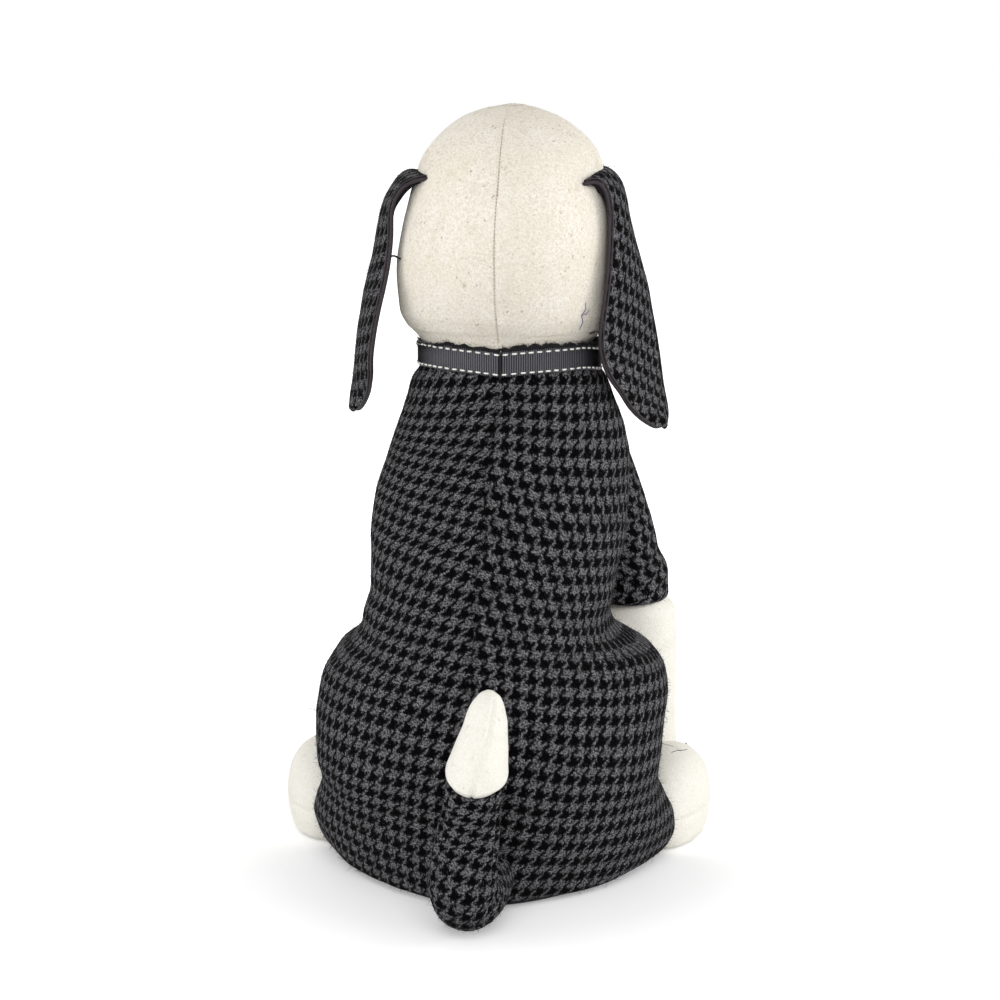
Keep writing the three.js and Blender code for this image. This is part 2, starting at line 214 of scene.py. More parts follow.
def closedForm(name, grid, uv):
    # rings closed at both ends; uv has one column more than the grid
    rows, cols = grid.shape[:2]
    r, c = [a.ravel() for a in np.meshgrid(np.arange(rows - 1), np.arange(cols), indexing="ij")]
    corners, index = cornersOf(grid, [quad((0, r, c), (0, r, c + 1), (0, r + 1, c + 1), (0, r + 1, c))])
    points = np.concatenate([grid.reshape(-1, 3), [grid[0].mean(0)], [grid[-1].mean(0)]])
    k, first, top = np.arange(cols), rows * cols, (rows - 1) * cols
    low = np.stack([np.full(cols, first), (k + 1) % cols, k], 1)
    high = np.stack([np.full(cols, first + 1), top + k, top + (k + 1) % cols], 1)
    uvs = [
        uv[corners[..., 1], corners[..., 2]].reshape(-1, 2),
        np.stack([uv[0, k], uv[0, k + 1], uv[0, k]], 1).reshape(-1, 2),
        np.stack([uv[-1, k], uv[-1, k], uv[-1, k + 1]], 1).reshape(-1, 2),
    ]
    return meshPiece(name, points, list(index) + list(low) + list(high), np.concatenate(uvs))


def ringUv(grid, turn=0, fall=None):
    # lengths around and along a form of rings, with its columns and rows turned by two angles
    closedGrid = np.concatenate([grid, grid[:, :1]], 1)
    across = np.cumsum(np.linalg.norm(np.diff(closedGrid, axis=1), axis=2), 1)
    across = np.concatenate([np.zeros((len(grid), 1)), across], 1)
    across -= across[:, -1:] / 2
    along = np.cumsum(np.linalg.norm(np.diff(closedGrid, axis=0), axis=2), 0).mean(1, keepdims=True)
    along = np.concatenate([[[0]], along]) + across * 0
    fall = turn if fall is None else fall
    u = across * math.cos(turn) - along * math.sin(turn)
    return np.stack([u, across * math.sin(fall) + along * math.cos(fall)], -1)


def threads(name, paths, radius, sides=6):
    # round threads along paths; each path is a list of points, thinner at its two ends
    points, faces = [], []
    for path in paths:
        path = np.array(path, float)
        tangent = np.gradient(path, axis=0)
        tangent /= np.linalg.norm(tangent, axis=1, keepdims=True) + 1e-9
        side = np.cross(tangent[0], [0.31, 0.23, 0.92])
        first = len(points)
        for k, (middle, ahead) in enumerate(zip(path, tangent)):
            side = side - ahead * side.dot(ahead)
            side /= np.linalg.norm(side)
            up = np.cross(ahead, side)
            thick = radius * (0.55 if k in (0, len(path) - 1) else 1)
            for a in np.arange(sides) * 2 * math.pi / sides:
                points.append(middle + thick * (side * math.cos(a) + up * math.sin(a)))
        for k in range(len(path) - 1):
            low = first + k * sides
            for i in range(sides):
                j = (i + 1) % sides
                faces.append((low + i, low + j, low + sides + j, low + sides + i))
        last = first + (len(path) - 1) * sides
        faces.append(tuple(first + i for i in reversed(range(sides))))
        faces.append(tuple(last + i for i in range(sides)))
    return meshPiece(name, points, faces)


def finishPiece(piece, material, nodes=()):
    piece.data.materials.append(material)
    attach(piece, "root")
    if nodes:
        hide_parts(*nodes)
    return piece


woolSurfaces = []  # outer faces of the woollen cloth, for the fibres that stand off them


def standingFibres(name, grids, count, length, radius, seed):
    # short bent fibres over those surfaces, spread by area
    rng = np.random.default_rng(seed)
    points, normals, weights = [], [], []
    for grid in grids:
        points.append(grid[:-1, :-1].reshape(-1, 3))
        normals.append(gridNormals(grid)[:-1, :-1].reshape(-1, 3))
        sides = np.diff(grid, axis=0)[:, :-1], np.diff(grid, axis=1)[:-1]
        weights.append(np.linalg.norm(np.cross(*sides), axis=-1).ravel())
    points, normals, weights = map(np.concatenate, (points, normals, weights))
    chosen = rng.choice(len(points), count, p=weights / weights.sum())
    paths = []
    for at in chosen:
        way = unitOf(normals[at] * rng.uniform(0.3, 1) + rng.normal(0, 0.55, 3))
        bend = rng.normal(0, 0.45, 3)
        reach = length * rng.uniform(0.45, 1.3)
        start = points[at] + rng.normal(0, 0.3, 3) - normals[at] * 0.15
        paths.append([start + reach * (way * k + bend * k * k) for k in (0, 0.5, 1)])
    return threads(name, paths, radius, 3)


# Materials

def newMaterial(name):
    material = bpy.data.materials.new(name)
    material.use_nodes = True
    tree = material.node_tree
    return material, tree, tree.nodes["Principled BSDF"]


def node(tree, kind, inputs=(), **settings):
    made = tree.nodes.new(kind)
    for key, value in settings.items():
        setattr(made, key, value)
    for key, value in dict(inputs).items():
        if isinstance(value, bpy.types.NodeSocket):
            tree.links.new(value, made.inputs[key])
        else:
            made.inputs[key].default_value = value
    return made


def maths(tree, operation, a, b=0.0, c=0.0):
    return node(tree, "ShaderNodeMath", {0: a, 1: b, 2: c}, operation=operation).outputs[0]


def vectorMaths(tree, operation, inputs):
    return node(tree, "ShaderNodeVectorMath", inputs, operation=operation).outputs[0]


def spread(tree, value, low, high, first=0.0, last=1.0):
    # a value between two limits, spread over another range
    return node(tree, "ShaderNodeMapRange", {0: value, 1: low, 2: high, 3: first, 4: last}).outputs[0]


def noiseAt(tree, vector, scale, detail=2.0, roughness=0.5):
    inputs = {"Vector": vector, "Scale": scale, "Detail": detail, "Roughness": roughness}
    made = node(tree, "ShaderNodeTexNoise", inputs)
    return made.outputs["Fac"], made.outputs["Color"]


def mixColour(tree, share, a, b, blend="MIX"):
    made = node(tree, "ShaderNodeMix", {"Factor": share}, data_type="RGBA", blend_type=blend)
    for key, value in ((6, a), (7, b)):
        if isinstance(value, bpy.types.NodeSocket):
            tree.links.new(value, made.inputs[key])
        else:
            made.inputs[key].default_value = value
    return made.outputs[2]


def setSockets(shader, **values):
    # constants on the shader: a socket's name without its spaces
    for key, value in values.items():
        next(s for s in shader.inputs if s.name.replace(" ", "") == key).default_value = value


def linear(red, green, blue):
    # a colour given as 0-255 values
    shares = [v / 255 for v in (red, green, blue)]
    return tuple(v / 12.92 if v < 0.0408 else ((v + 0.055) / 1.055) ** 2.4 for v in shares) + (1,)


def bumped(tree, shader, height, strength, distance):
    bump = node(tree, "ShaderNodeBump", {"Height": height, "Strength": strength, "Distance": distance})
    tree.links.new(bump.outputs["Normal"], shader.inputs["Normal"])


houndstooth = {
    "threads": (0.0007, 0.00086),  # metres between threads each way, eight to a check
    "black": (1, 1, 2),
    "blackFibre": (30, 29, 31),
    "greyLow": (9, 9, 10),
    "greyHigh": (186, 184, 188),
    "wobble": 0.0023,
    "drift": 0.0022,
    "lightPower": 1.7,
    "blends": 3,
}


def makeHoundstooth():
    h = houndstooth
    material, tree, shader = newMaterial("woollenHoundstooth")
    uv = node(tree, "ShaderNodeUVMap", uv_map="cloth").outputs["UV"]

    def shifted(place, colour, reach):
        centred = vectorMaths(tree, "ADD", {0: colour, 1: (-0.5, -0.5, -0.5)})
        scaled = vectorMaths(tree, "SCALE", {0: centred, "Scale": reach})
        return vectorMaths(tree, "ADD", {0: place, 1: scaled})

    def over(count, period, share):
        turned = maths(tree, "FLOORED_MODULO", maths(tree, "ADD", count, 0.5), period)
        return maths(tree, "LESS_THAN", turned, share)

    def checksAt(place):
        # which of the crossing threads lies on top, whether it is light, and how round it is there
        split = node(tree, "ShaderNodeSeparateXYZ", {0: place}).outputs
        counts, lights, bulges = [], [], []
        for way in (0, 1):
            where = maths(tree, "DIVIDE", split[way], h["threads"][way])
            counts.append(maths(tree, "FLOOR", where))
            lights.append(over(counts[-1], 8.0, 4.0))
            halfTurn = maths(tree, "MULTIPLY", maths(tree, "FRACT", where), math.pi)
            bulges.append(maths(tree, "SINE", halfTurn))
        warpOver = over(maths(tree, "SUBTRACT", *counts), 4.0, 2.0)
        return [
            maths(tree, "MULTIPLY_ADD", warpOver, maths(tree, "SUBTRACT", first, second), second)
            for first, second in (lights, bulges)
        ]

    drifted = shifted(uv, noiseAt(tree, uv, 55, 1)[1], h["drift"])
    light = yarn = 0.0
    for k in range(h["blends"]):
        apart = vectorMaths(tree, "ADD", {0: uv, 1: (0.31 * k, 0.17 * k, 0)})
        one, bulge = checksAt(shifted(drifted, noiseAt(tree, apart, 2100, 1, 0.5)[1], h["wobble"]))
        light = maths(tree, "MULTIPLY_ADD", one, 1 / h["blends"], light)
        yarn = maths(tree, "MULTIPLY_ADD", bulge, 1 / h["blends"], yarn)
    light = maths(tree, "POWER", light, h["lightPower"])
    fuzz, _ = noiseAt(tree, uv, 2400, 3, 0.7)
    mottle, _ = noiseAt(tree, uv, 240, 2)
    fibre = spread(tree, fuzz, 0.34, 0.7)
    # light and dark wool spun together
    speck, _ = noiseAt(tree, uv, 1250, 1, 0.5)
    speckled = spread(tree, speck, 0.4, 0.6, 0.2, 1.3)
    # the grey yarn is painted darker at the sides of each thread and lighter on its crown, as painted shade
    # of the round threads, over random mottling
    threadCrownShade = maths(tree, "MULTIPLY_ADD", yarn, 0.3, 0.55)
    mottleAndThreadShade = maths(tree, "MULTIPLY", maths(tree, "MULTIPLY_ADD", mottle, 0.9, 0.4), threadCrownShade)
    pale = maths(tree, "MULTIPLY", maths(tree, "MULTIPLY", fibre, mottleAndThreadShade), speckled)
    grey = mixColour(tree, pale, linear(*h["greyLow"]), linear(*h["greyHigh"]))
    black = mixColour(tree, maths(tree, "POWER", fibre, 2.5), linear(*h["black"]), linear(*h["blackFibre"]))
    tree.links.new(mixColour(tree, light, black, grey), shader.inputs["Base Color"])
    setSockets(shader, Roughness=0.95, SpecularIORLevel=0.01, SheenWeight=0.008, SheenRoughness=0.4)
    bumped(tree, shader, maths(tree, "MULTIPLY_ADD", yarn, 0.6, fuzz), 0.7, 0.0004)
    return material


felt = {
    "colour": (244, 238, 225),
    "pale": (249, 245, 235),
    # the whiter felt of the feet, legs, tail tip and chest, brightened further as painted light from floor
    # bounce and side light
    "white": (250, 248, 240),
    "warm": (206, 192, 168),
    # scale, limit, softness, weight and colour of each kind of fleck
    "flecks": [
        (560, 0.69, 0.07, 0.55, (150, 120, 92)),
        (300, 0.69, 0.1, 0.48, (168, 146, 120)),
        (900, 0.655, 0.08, 0.3, (168, 156, 144)),
        (1300, 0.6, 0.1, 0.36, (186, 170, 148)),
        (110, 0.6, 0.16, 0.26, (206, 190, 166)),
    ],
}


def makeFelt(name, flecks, paintedLighter):
    material, tree, shader = newMaterial(name)
    place = node(tree, "ShaderNodeTexCoord").outputs["Object"]
    cloud, _ = noiseAt(tree, place, 60, 4, 0.6)
    clear = spread(tree, cloud, 0.36, 0.64)
    base = mixColour(tree, clear, linear(*felt["colour"]), linear(*felt["pale"]))
    # the whiter copy of the felt: whiter felt, with fewer flecks, brightened further as painted light where
    # floor bounce and side light fall
    base = mixColour(tree, 0.85 if paintedLighter else 0.0, base, linear(*felt["white"]))
    fibre, _ = noiseAt(tree, place, 1100, 4, 0.75)
    shade = maths(tree, "MULTIPLY", spread(tree, fibre, 0.36, 0.6, 0.55, 0.0), 0.4 if paintedLighter else 1.0)
    base = mixColour(tree, shade, base, linear(*felt["warm"]))
    for scale, limit, softness, weight, colour in felt["flecks"]:
        found, _ = noiseAt(tree, place, scale, 1.5)
        share = spread(tree, found, limit, limit + softness, 0.0, weight * flecks)
        base = mixColour(tree, share, base, linear(*colour))
    tree.links.new(base, shader.inputs["Base Color"])
    setSockets(shader, Roughness=0.95, SpecularIORLevel=0.08, SheenWeight=0.04)
    bumped(tree, shader, maths(tree, "MULTIPLY_ADD", cloud, 0.6, fibre), 0.8, 0.0007)
    return material


def makeWoven(name, dark, light, scale, roughness, strength):
    # a plain cloth of fine crossing threads
    material, tree, shader = newMaterial(name)
    place = node(tree, "ShaderNodeTexCoord").outputs["Object"]
    mottle, _ = noiseAt(tree, place, scale * 0.4, 3, 0.6)
    inputs = {"Vector": place, "Scale": scale, "Distortion": 0.6}
    waves = [node(tree, "ShaderNodeTexWave", inputs, bands_direction=way) for way in ("Y", "Z")]
    weave = maths(tree, "MAXIMUM", *[wave.outputs["Fac"] for wave in waves])
    tree.links.new(mixColour(tree, mottle, linear(*dark), linear(*light)), shader.inputs["Base Color"])
    setSockets(shader, Roughness=roughness, SpecularIORLevel=0.3)
    bumped(tree, shader, maths(tree, "ADD", weave, mottle), strength, 0.0002)
    return material


grosgrainLook = {
    "pitch": 0.00087,  # metres
    # the ribbon's own near-black, and the grey painted on its rib crests and streaks as painted sheen
    "colours": ((2, 2, 4), (96, 96, 103)),
}


def makeRibbon():
    material, tree, shader = newMaterial("grosgrainRibbon")
    uv = node(tree, "ShaderNodeUVMap", uv_map="cloth").outputs["UV"]
    split = node(tree, "ShaderNodeSeparateXYZ", {0: uv}).outputs
    # the rib crests are painted grey as a painted sheen, and random streaks lift it further toward that grey
    ribSheen = maths(tree, "SINE", maths(tree, "MULTIPLY", split[0], 2 * math.pi / grosgrainLook["pitch"]))
    streak, _ = noiseAt(tree, uv, 1400, 3, 0.6)
    sheenOnRibsAndStreaks = maths(tree, "MULTIPLY_ADD", ribSheen, 0.62, maths(tree, "MULTIPLY", streak, 0.8))
    dark, light = [linear(*colour) for colour in grosgrainLook["colours"]]
    tree.links.new(mixColour(tree, sheenOnRibsAndStreaks, dark, light), shader.inputs["Base Color"])
    setSockets(shader, Roughness=0.42, SpecularIORLevel=0.22)
    bumped(tree, shader, streak, 0.35, 0.0001)
    return material


def makeBead():
    material, tree, shader = newMaterial("blackBead")
    place = node(tree, "ShaderNodeTexCoord").outputs["Object"]
    cloud, _ = noiseAt(tree, place, 300, 3)
    tree.links.new(mixColour(tree, cloud, linear(6, 6, 7), linear(16, 15, 16)), shader.inputs["Base Color"])
    rough = maths(tree, "MULTIPLY_ADD", cloud, 0.14, 0.08)
    tree.links.new(rough, shader.inputs["Roughness"])
    bumped(tree, shader, cloud, 0.05, 0.0002)
    return material


plainCloths = {
    # darker and lighter colour, scale of the threads, roughness, depth of the weave
    "earLining": ((16, 12, 14), (52, 42, 47), 900, 0.6, 0.3),
    "earRim": ((14, 10, 13), (50, 41, 47), 1200, 0.6, 0.3),
    "woolFibre": ((38, 37, 39), (96, 94, 97), 2400, 0.9, 0.2),
    "baseCotton": ((22, 22, 24), (46, 46, 49), 700, 0.9, 0.4),
    "whiteThread": ((226, 224, 216), (250, 249, 244), 2400, 0.55, 0.3),
    "darkThread": ((14, 13, 15), (40, 36, 40), 2400, 0.7, 0.3),
    "creamThread": ((158, 140, 116), (196, 180, 156), 2400, 0.8, 0.3),
    "blackWool": ((3, 3, 4), (40, 39, 41), 1500, 0.95, 0.5),
    "purpleThread": ((92, 84, 132), (128, 120, 160), 2400, 0.8, 0.3),
}

houndstoothCloth = makeHoundstooth()
headFelt = makeFelt("fleckedFelt", 1.0, False)
# a whiter copy of the felt, brightened partly as painted light
whiterFeltWithPaintedLight = makeFelt("whiterFeltWithPaintedLight", 0.35, True)
plain = {name: makeWoven(name, *values) for name, values in plainCloths.items()}
grosgrain = makeRibbon()
beadGloss = makeBead()
print("materials made")


# Body: two back panels and a chest panel, with tucked seams, on a cotton base

body = {
    # height, half width to the left, to the right, back, front
    "rows": [
        [0.5, 62.4, 60, -58.5, 37],
        [2, 65.8, 64.2, -61, 40.6],
        [5.4, 68.8, 67, -62.6, 44.6],
        [10, 71, 68.4, -63.4, 47.4],
        [18, 71.2, 67.8, -63.8, 49.9],
        [26, 68.6, 64.8, -63.6, 50.8],
        [36, 65.4, 62.4, -64, 51.6],
        [46, 67, 63, -64, 52.2],
        [61, 67.8, 64, -63.8, 53.2],
        [72, 66.6, 65.8, -61.9, 54.6],
        [80, 64.6, 64.4, -59.2, 55.8],
        [85, 61.4, 60.6, -56.6, 56.8],
        [89.4, 56.2, 51.6, -54.2, 58.2],
        [92, 53.8, 46.4, -52.6, 59],
        [94.4, 52.2, 44.4, -51.2, 59.7],
        [102, 49.8, 43.6, -45.4, 62],
        [112, 49, 44.8, -37.6, 65],
        [126, 50.2, 47.6, -29.1, 69.8],
        [141, 49.2, 48.4, -21.1, 73.9],
        [152, 46.6, 48.2, -14.1, 76.2],
        [164, 43, 46.2, -5.1, 76.8],
        [176, 39.6, 41.4, 4.5, 76.5],
        [183, 37.8, 38.6, 8.6, 75],
        [186.6, 35.6, 36.6, 9.8, 74.2],
        [190, 33.9, 34.8, 10.3, 73.7],
        [197.8, 33.9, 34.8, 10.3, 73.7],
    ],
    "seam": [[0, 0.5], [11, 0.3], [58, -1.6], [82, -3.3], [105, -3.4], [115, -3.8], [126, -3], [132, -1],
             [146, -2.4], [156, -2.5], [165, -0.9], [189, 0.6], [202, 1]],
    "rowCount": 118,
    "columnCount": 96,
    "chestColumns": 84,
    "spine": {"right": 0.25, "left": 0.75, "chest": 0.5},
    # height, lean of the columns and fall of the rows
    "grain": {
        "right": [[0, -0.36, 0.24], [27, -0.28, 0.26], [50, -0.18, 0.3], [72, -0.1, 0.24], [102, 0.27, 0.3],
                  [125, 0.42, 0.3], [152, 0.27, 0.25], [175, 0.09, 0.12], [200, 0.05, 0.1]],
        "left": [[0, -0.08, 0.22], [27, -0.12, 0.24], [50, -0.2, 0.14], [72, -0.27, 0.18], [102, -0.36, 0.13],
                 [125, -0.38, 0.26], [152, -0.5, 0.12], [175, -0.25, -0.2], [200, -0.2, -0.2]],
    },
    "swells": [(0.8, 30, 3), (0.32, 12, 4), (0.1, 4.5, 6)],
    "tuckDepth": 1.7,
    "tuckWidth": 1.5,
    # depth, height and spread of the folds over the haunches, and how far sideways they set in
    "crease": (0.7, 100, 13),
    "creaseReach": (22, 44),
    "levelTucks": [(1.1, 0.8, 1.6), (0.5, 187.5, 2.2)],  # where it meets the base and the ribbon
    "rowReach": 62,  # how far from the back seam its rows still fall
    "puckerDepth": 0.32,
    "puckerLength": 4.5,
    "puckerReach": (1.2, 5.5),  # grows up to the first distance from a seam, and fades over the second
    # height and inset of the base's rings
    "base": ((0.12, 7), (0.15, 4.2), (0.7, 3.4), (1.6, 3.2), (2.6, 4), (3, 7)),
    "sideSeamY": 30,
    "sideSeamLean": math.tan(math.radians(7)),
    "neckLean": 1.2,
}
bodyAt = smoothTable(body["rows"])
backSeamAt = smoothTable(body["seam"])


def bodyRows(count):
    # heights spaced evenly along the side and the back
    z = np.linspace(body["rows"][0][0], body["rows"][-1][0], 900)
    shape = bodyAt(z)
    outward = np.maximum(np.abs(np.diff(shape[:, 0])), np.abs(np.diff(shape[:, 2])))
    return evenPlaces(np.hypot(np.diff(z), outward), z, count)


def bodyRing(z, angles):
    left, right, back, front = bodyAt(z)[0]
    straight = min(1, z / 186)
    low = 1 - float(ease(z, 2, 46))  # the seat comes to a rounded point behind, where it lies on the floor
    c, s = np.cos(angles), np.sin(angles)
    power = np.where(s < 0, 2 + 0.3 * (1 - straight) - 0.7 * low, 2 + 0.3 * (1 - straight))
    middleY = (back + front) / 2 + (22 - (back + front) / 2) * low
    x = body["neckLean"] * straight**2 + np.where(c > 0, right, left) * signedPower(c, 2 / power)
    y = middleY + np.where(s < 0, middleY - back, front - middleY) * signedPower(s, 2 / power)
    return np.stack([x, y, np.full_like(x, z)], -1)


def ringBetween(z, startX, endSide):
    # angles of the back seam and of the side seams on one level ring
    dense = np.linspace(-math.pi, math.pi, 1441)
    ring = bodyRing(z, dense)
    sideY = body["sideSeamY"] + body["sideSeamLean"] * z
    back = (dense > -2.4) & (dense < -0.7)
    seam = np.interp(startX, ring[back, 0], dense[back])
    rightHalf = (dense > -1) & (dense < 1.57)
    right = np.interp(sideY, ring[rightHalf, 1], dense[rightHalf])
    leftHalf = (dense > 1.57) & (dense <= math.pi)
    left = np.interp(-sideY, -ring[leftHalf, 1], dense[leftHalf])
    return {"right": (seam, right), "left": (left - 2 * math.pi, seam), "chest": (right, left)}[endSide]


def edgeTuck(distance, depth, width, seed, along):
    # cloth pulled in at a seam, with small puckers beside it
    pull = -depth * hump(distance, width)
    grow, fade = body["puckerReach"]
    pucker = body["puckerDepth"] * lineNoise(along, body["puckerLength"], seed)
    return pull + pucker * np.exp(-distance / fade) * (1 - np.exp(-distance / grow))


def bodyPanel(which, columns, seedStart):
    z = bodyRows(body["rowCount"])
    grid = np.zeros((len(z), columns, 3))
    along = np.zeros(grid.shape[:2])
    for i, height in enumerate(z):
        start, end = ringBetween(height, backSeamAt(height)[0, 0], which)
        grid[i], along[i] = evenly(bodyRing(height, np.linspace(start, end, 260)), closerAtEnds(columns))
    total = along[:, -1:]
    fromEnd = total - along
    height = grid[..., 2].copy()
    spine = grid[:, int(columns * body["spine"][which])]
    run = runOf(stepsOf(spine))[:, None]
    normal = gridNormals(grid)
    push = edgeTuck(along, body["tuckDepth"], body["tuckWidth"], seedStart, run)
    push += edgeTuck(fromEnd, body["tuckDepth"], body["tuckWidth"], seedStart + 1, run)
    calm = 1 - 0.75 * ease(height, 178, 190)
    push += calm * uneven(grid, body["swells"])
    depth, middle, width = body["crease"]
    crease = hump(height - middle, width) * ease(np.abs(grid[..., 0]), *body["creaseReach"])
    push += depth * crease * np.sin(height / 2.6 + grid[..., 0] / 9 + 2 * softNoise(grid, 20, 9))
    for depth, middle, width in body["levelTucks"]:
        push -= depth * hump(height - middle, width)
    grid += normal * push[..., None]
    grid[..., 2] = np.maximum(grid[..., 2], 0.25)
    return grid, along, run, total, z


def clothUv(grid, along, run, total, z, which):
    # the cloth's grain: how its columns lean and its rows fall, by height, from the back seam
    lean, fall = smoothTable(body["grain"][which])(z).T
    fromSeam = along if which == "right" else along - total
    drift = runOf(lean[1:] * np.diff(run[:, 0]))[:, None]
    farthest = body["rowReach"]
    reach = np.sign(fromSeam) * farthest * (1 - np.exp(-np.abs(fromSeam) / farthest))
    return np.stack([fromSeam + drift, run + fall[:, None] * reach], -1)


for which, replaced in (("right", ("back_panel_right",)), ("left", ("back_panel_left", "body_stuffing"))):
    panel = bodyPanel(which, body["columnCount"], 20 if which == "right" else 30)
    woolSurfaces.append(panel[0])
    cover = clothSheet(f"backPanel_{which}", panel[0], clothUv(*panel, which))
    finishPiece(cover, houndstoothCloth, replaced)
panel = bodyPanel("chest", body["chestColumns"], 40)
cover = clothSheet("chestPanel", panel[0], clothUv(*panel, "right"))
finishPiece(cover, whiterFeltWithPaintedLight, ("chest_panel",))

baseAngles = around(160)
baseRings = []
for height, inset in body["base"]:
    ring = bodyRing(height + 0.4, baseAngles)
    middle = ring.mean(0)
    ring = middle + (ring - middle) * (1 - inset / 60)
    ring[:, 2] = height + 0.05 * lineNoise(baseAngles * 50, 6, 2)
    baseRings.append(ring)
baseRings = np.array(baseRings)
base = closedForm("basePanel", baseRings, ringUv(baseRings))
finishPiece(base, plain["baseCotton"], ("base_panel", "weight_bag"))
print("body made")


# Ribbon collar, its stitches and the raw edge above it

ribbon = {
    "width": 10,
    "thickness": 0.9,
    "standOff": 0.25,
    "middle": 193.6,
    "ribPitch": 0.87,
    "ribDepth": 0.15,
    "ribColumns": 5,
    "selvedge": 1.3,
    "creaseDepth": 1.7,
    "creaseRadius": 0.34,
    "backDip": 1.9,  # how far it hangs down at the crease
    "sideDips": (2.7, 1.1),  # and at the sides, right and left
    "dashPitch": 3.3,
    "dashLength": 1.8,
    "dashRadius": 0.35,
    "dashInset": 1.05,
    "flat": (0.01, 0.236),  # metres
}


def ribbonFrame():
    # an even run of points round the neck from the crease, with directions outward
    angles = np.linspace(-math.pi / 2, 1.5 * math.pi, 1600)
    line = bodyRing(ribbon["middle"], angles)
    line[:, 2] = ribbon["middle"]
    return line, stepsOf(line).sum()


ribbonLine, ribbonLength = ribbonFrame()


def ribbonPoints(along, across, out):
    # points on the ribbon: distance round from the crease, height from its middle and distance outward
    along, across, out = np.broadcast_arrays(along, across, out)
    share = np.mod(along, ribbonLength) / ribbonLength
    flat, _ = evenly(ribbonLine, share.ravel())
    ahead, _ = evenly(ribbonLine, np.clip(share.ravel() + 0.0005, 0, 1))
    behind, _ = evenly(ribbonLine, np.clip(share.ravel() - 0.0005, 0, 1))
    tangent = unitOf(ahead - behind)
    normal = np.stack([tangent[:, 1], -tangent[:, 0], tangent[:, 2] * 0], 1)
    normal, flat = normal.reshape(along.shape + (3,)), flat.reshape(along.shape + (3,))
    near = np.minimum(np.mod(along, ribbonLength), ribbonLength - np.mod(along, ribbonLength))
    crease = hump(near, 0.6)
    toRight = np.mod(along, ribbonLength) < ribbonLength / 2
    lower = np.where(toRight, *ribbon["sideDips"])
    dip = ribbon["backDip"] * np.exp(-near / 13) + lower * ease(near, 30, 56) * (1 - ease(near, 80, 105))
    place = flat + normal * (out + ribbon["standOff"] - ribbon["creaseDepth"] * crease)[..., None]
    place[..., 2] += 0.95 * across - dip + 0.25 * lineNoise(along, 17, 3)
    return place


def bandUv(along, height):
    # lengths round the neck and up a band, closed by one more column
    closing = np.concatenate([along, along[:, :1] + ribbonLength], 1)
    return np.stack([closing, np.concatenate([height, height[:, :1]], 1)], -1)


def makeRibbonBand():
    r = ribbon
    ribs = round(ribbonLength / r["ribPitch"])
    along = np.linspace(0, ribbonLength, ribs * r["ribColumns"], endpoint=False)
    across = np.concatenate([[-5, -4.9], np.linspace(-4.6, 4.6, 11), [4.9, 5]])
    s, h = np.meshgrid(along, across)
    inside = ease(5 - np.abs(h), r["selvedge"] * 0.7, r["selvedge"] * 1.3)
    bow = 0.35 * np.exp(-np.minimum(s, ribbonLength - s) / 22) * np.where(s < ribbonLength / 2, 1, -1)
    phase = 2 * math.pi * (s + bow * (1 - (h / 5) ** 2)) * ribs / ribbonLength
    edge = -0.35 * ease(np.abs(h), 4.7, 5)
    out = r["thickness"] + r["ribDepth"] * np.cos(phase) * inside + edge
    grid = ribbonPoints(s, h, out)
    inner = ribbonPoints(s, h, r["thickness"] - 0.7 + 0 * s)
    band = clothSheet("collarRibbon", grid, bandUv(s, h), closed=True, inner=inner)
    return finishPiece(band, grosgrain, ("collar_ribbon",))


def makeRibbonDashes():
    r = ribbon
    paths = []
    count = round(ribbonLength / r["dashPitch"])
    for side in (-1, 1):
        for k in range(count):
            middle = (k + 0.5) * ribbonLength / count + 0.25 * math.sin(7.3 * k + side)
            s = middle + np.array([-0.5, -0.36, -0.12, 0.12, 0.36, 0.5]) * r["dashLength"]
            rise = np.array([-0.3, -0.02, 0.1, 0.1, -0.02, -0.3]) + r["thickness"] + 0.12
            slant = 0.1 * math.sin(3.1 * k)
            across = side * (r["width"] / 2 - r["dashInset"]) + slant * np.linspace(-1, 1, 6)
            paths.append(ribbonPoints(s, across, rise))
    # a dark thread sunk in the groove of the ribbon's crease, as painted shade along the crease
    depth = r["thickness"] + r["creaseDepth"] - 0.5
    creaseShadeLine = ribbonPoints(np.zeros(9), np.linspace(-4.7, 4.7, 9), np.full(9, depth))
    finishPiece(threads("ribbonCreaseShade", [creaseShadeLine], r["creaseRadius"], 6), plain["darkThread"])
    return finishPiece(threads("ribbonStitches", paths, r["dashRadius"], 8), plain["whiteThread"])


rawEdge = {
    "columns": 760,
    "low": 195.6,
    "base": 197.7,
    "height": 2.0,
    "pitch": 6.7,
    "ragged": 0.45,
    "backDip": 1.1,
    "sideDips": (2.2, 1.5),  # left and right
    "rows": 12,
    "thickness": 1.1,
    "fibres": 900,
    "fibreRadius": 0.09,
}


def rawEdgeTop(along):
    # the height of the neck's raw edge: uneven dark scallops that stand above the ribbon
    bent = along + 1.6 * lineNoise(along, 9, 5)
    wave = np.abs(np.cos(math.pi * bent / rawEdge["pitch"])) ** 0.7
    size = 0.62 + 0.38 * lineNoise(along, 11, 17)
    ragged = rawEdge["ragged"] * lineNoise(along, 0.8, 8)
    return rawEdge["base"] + rawEdge["height"] * wave * size + ragged


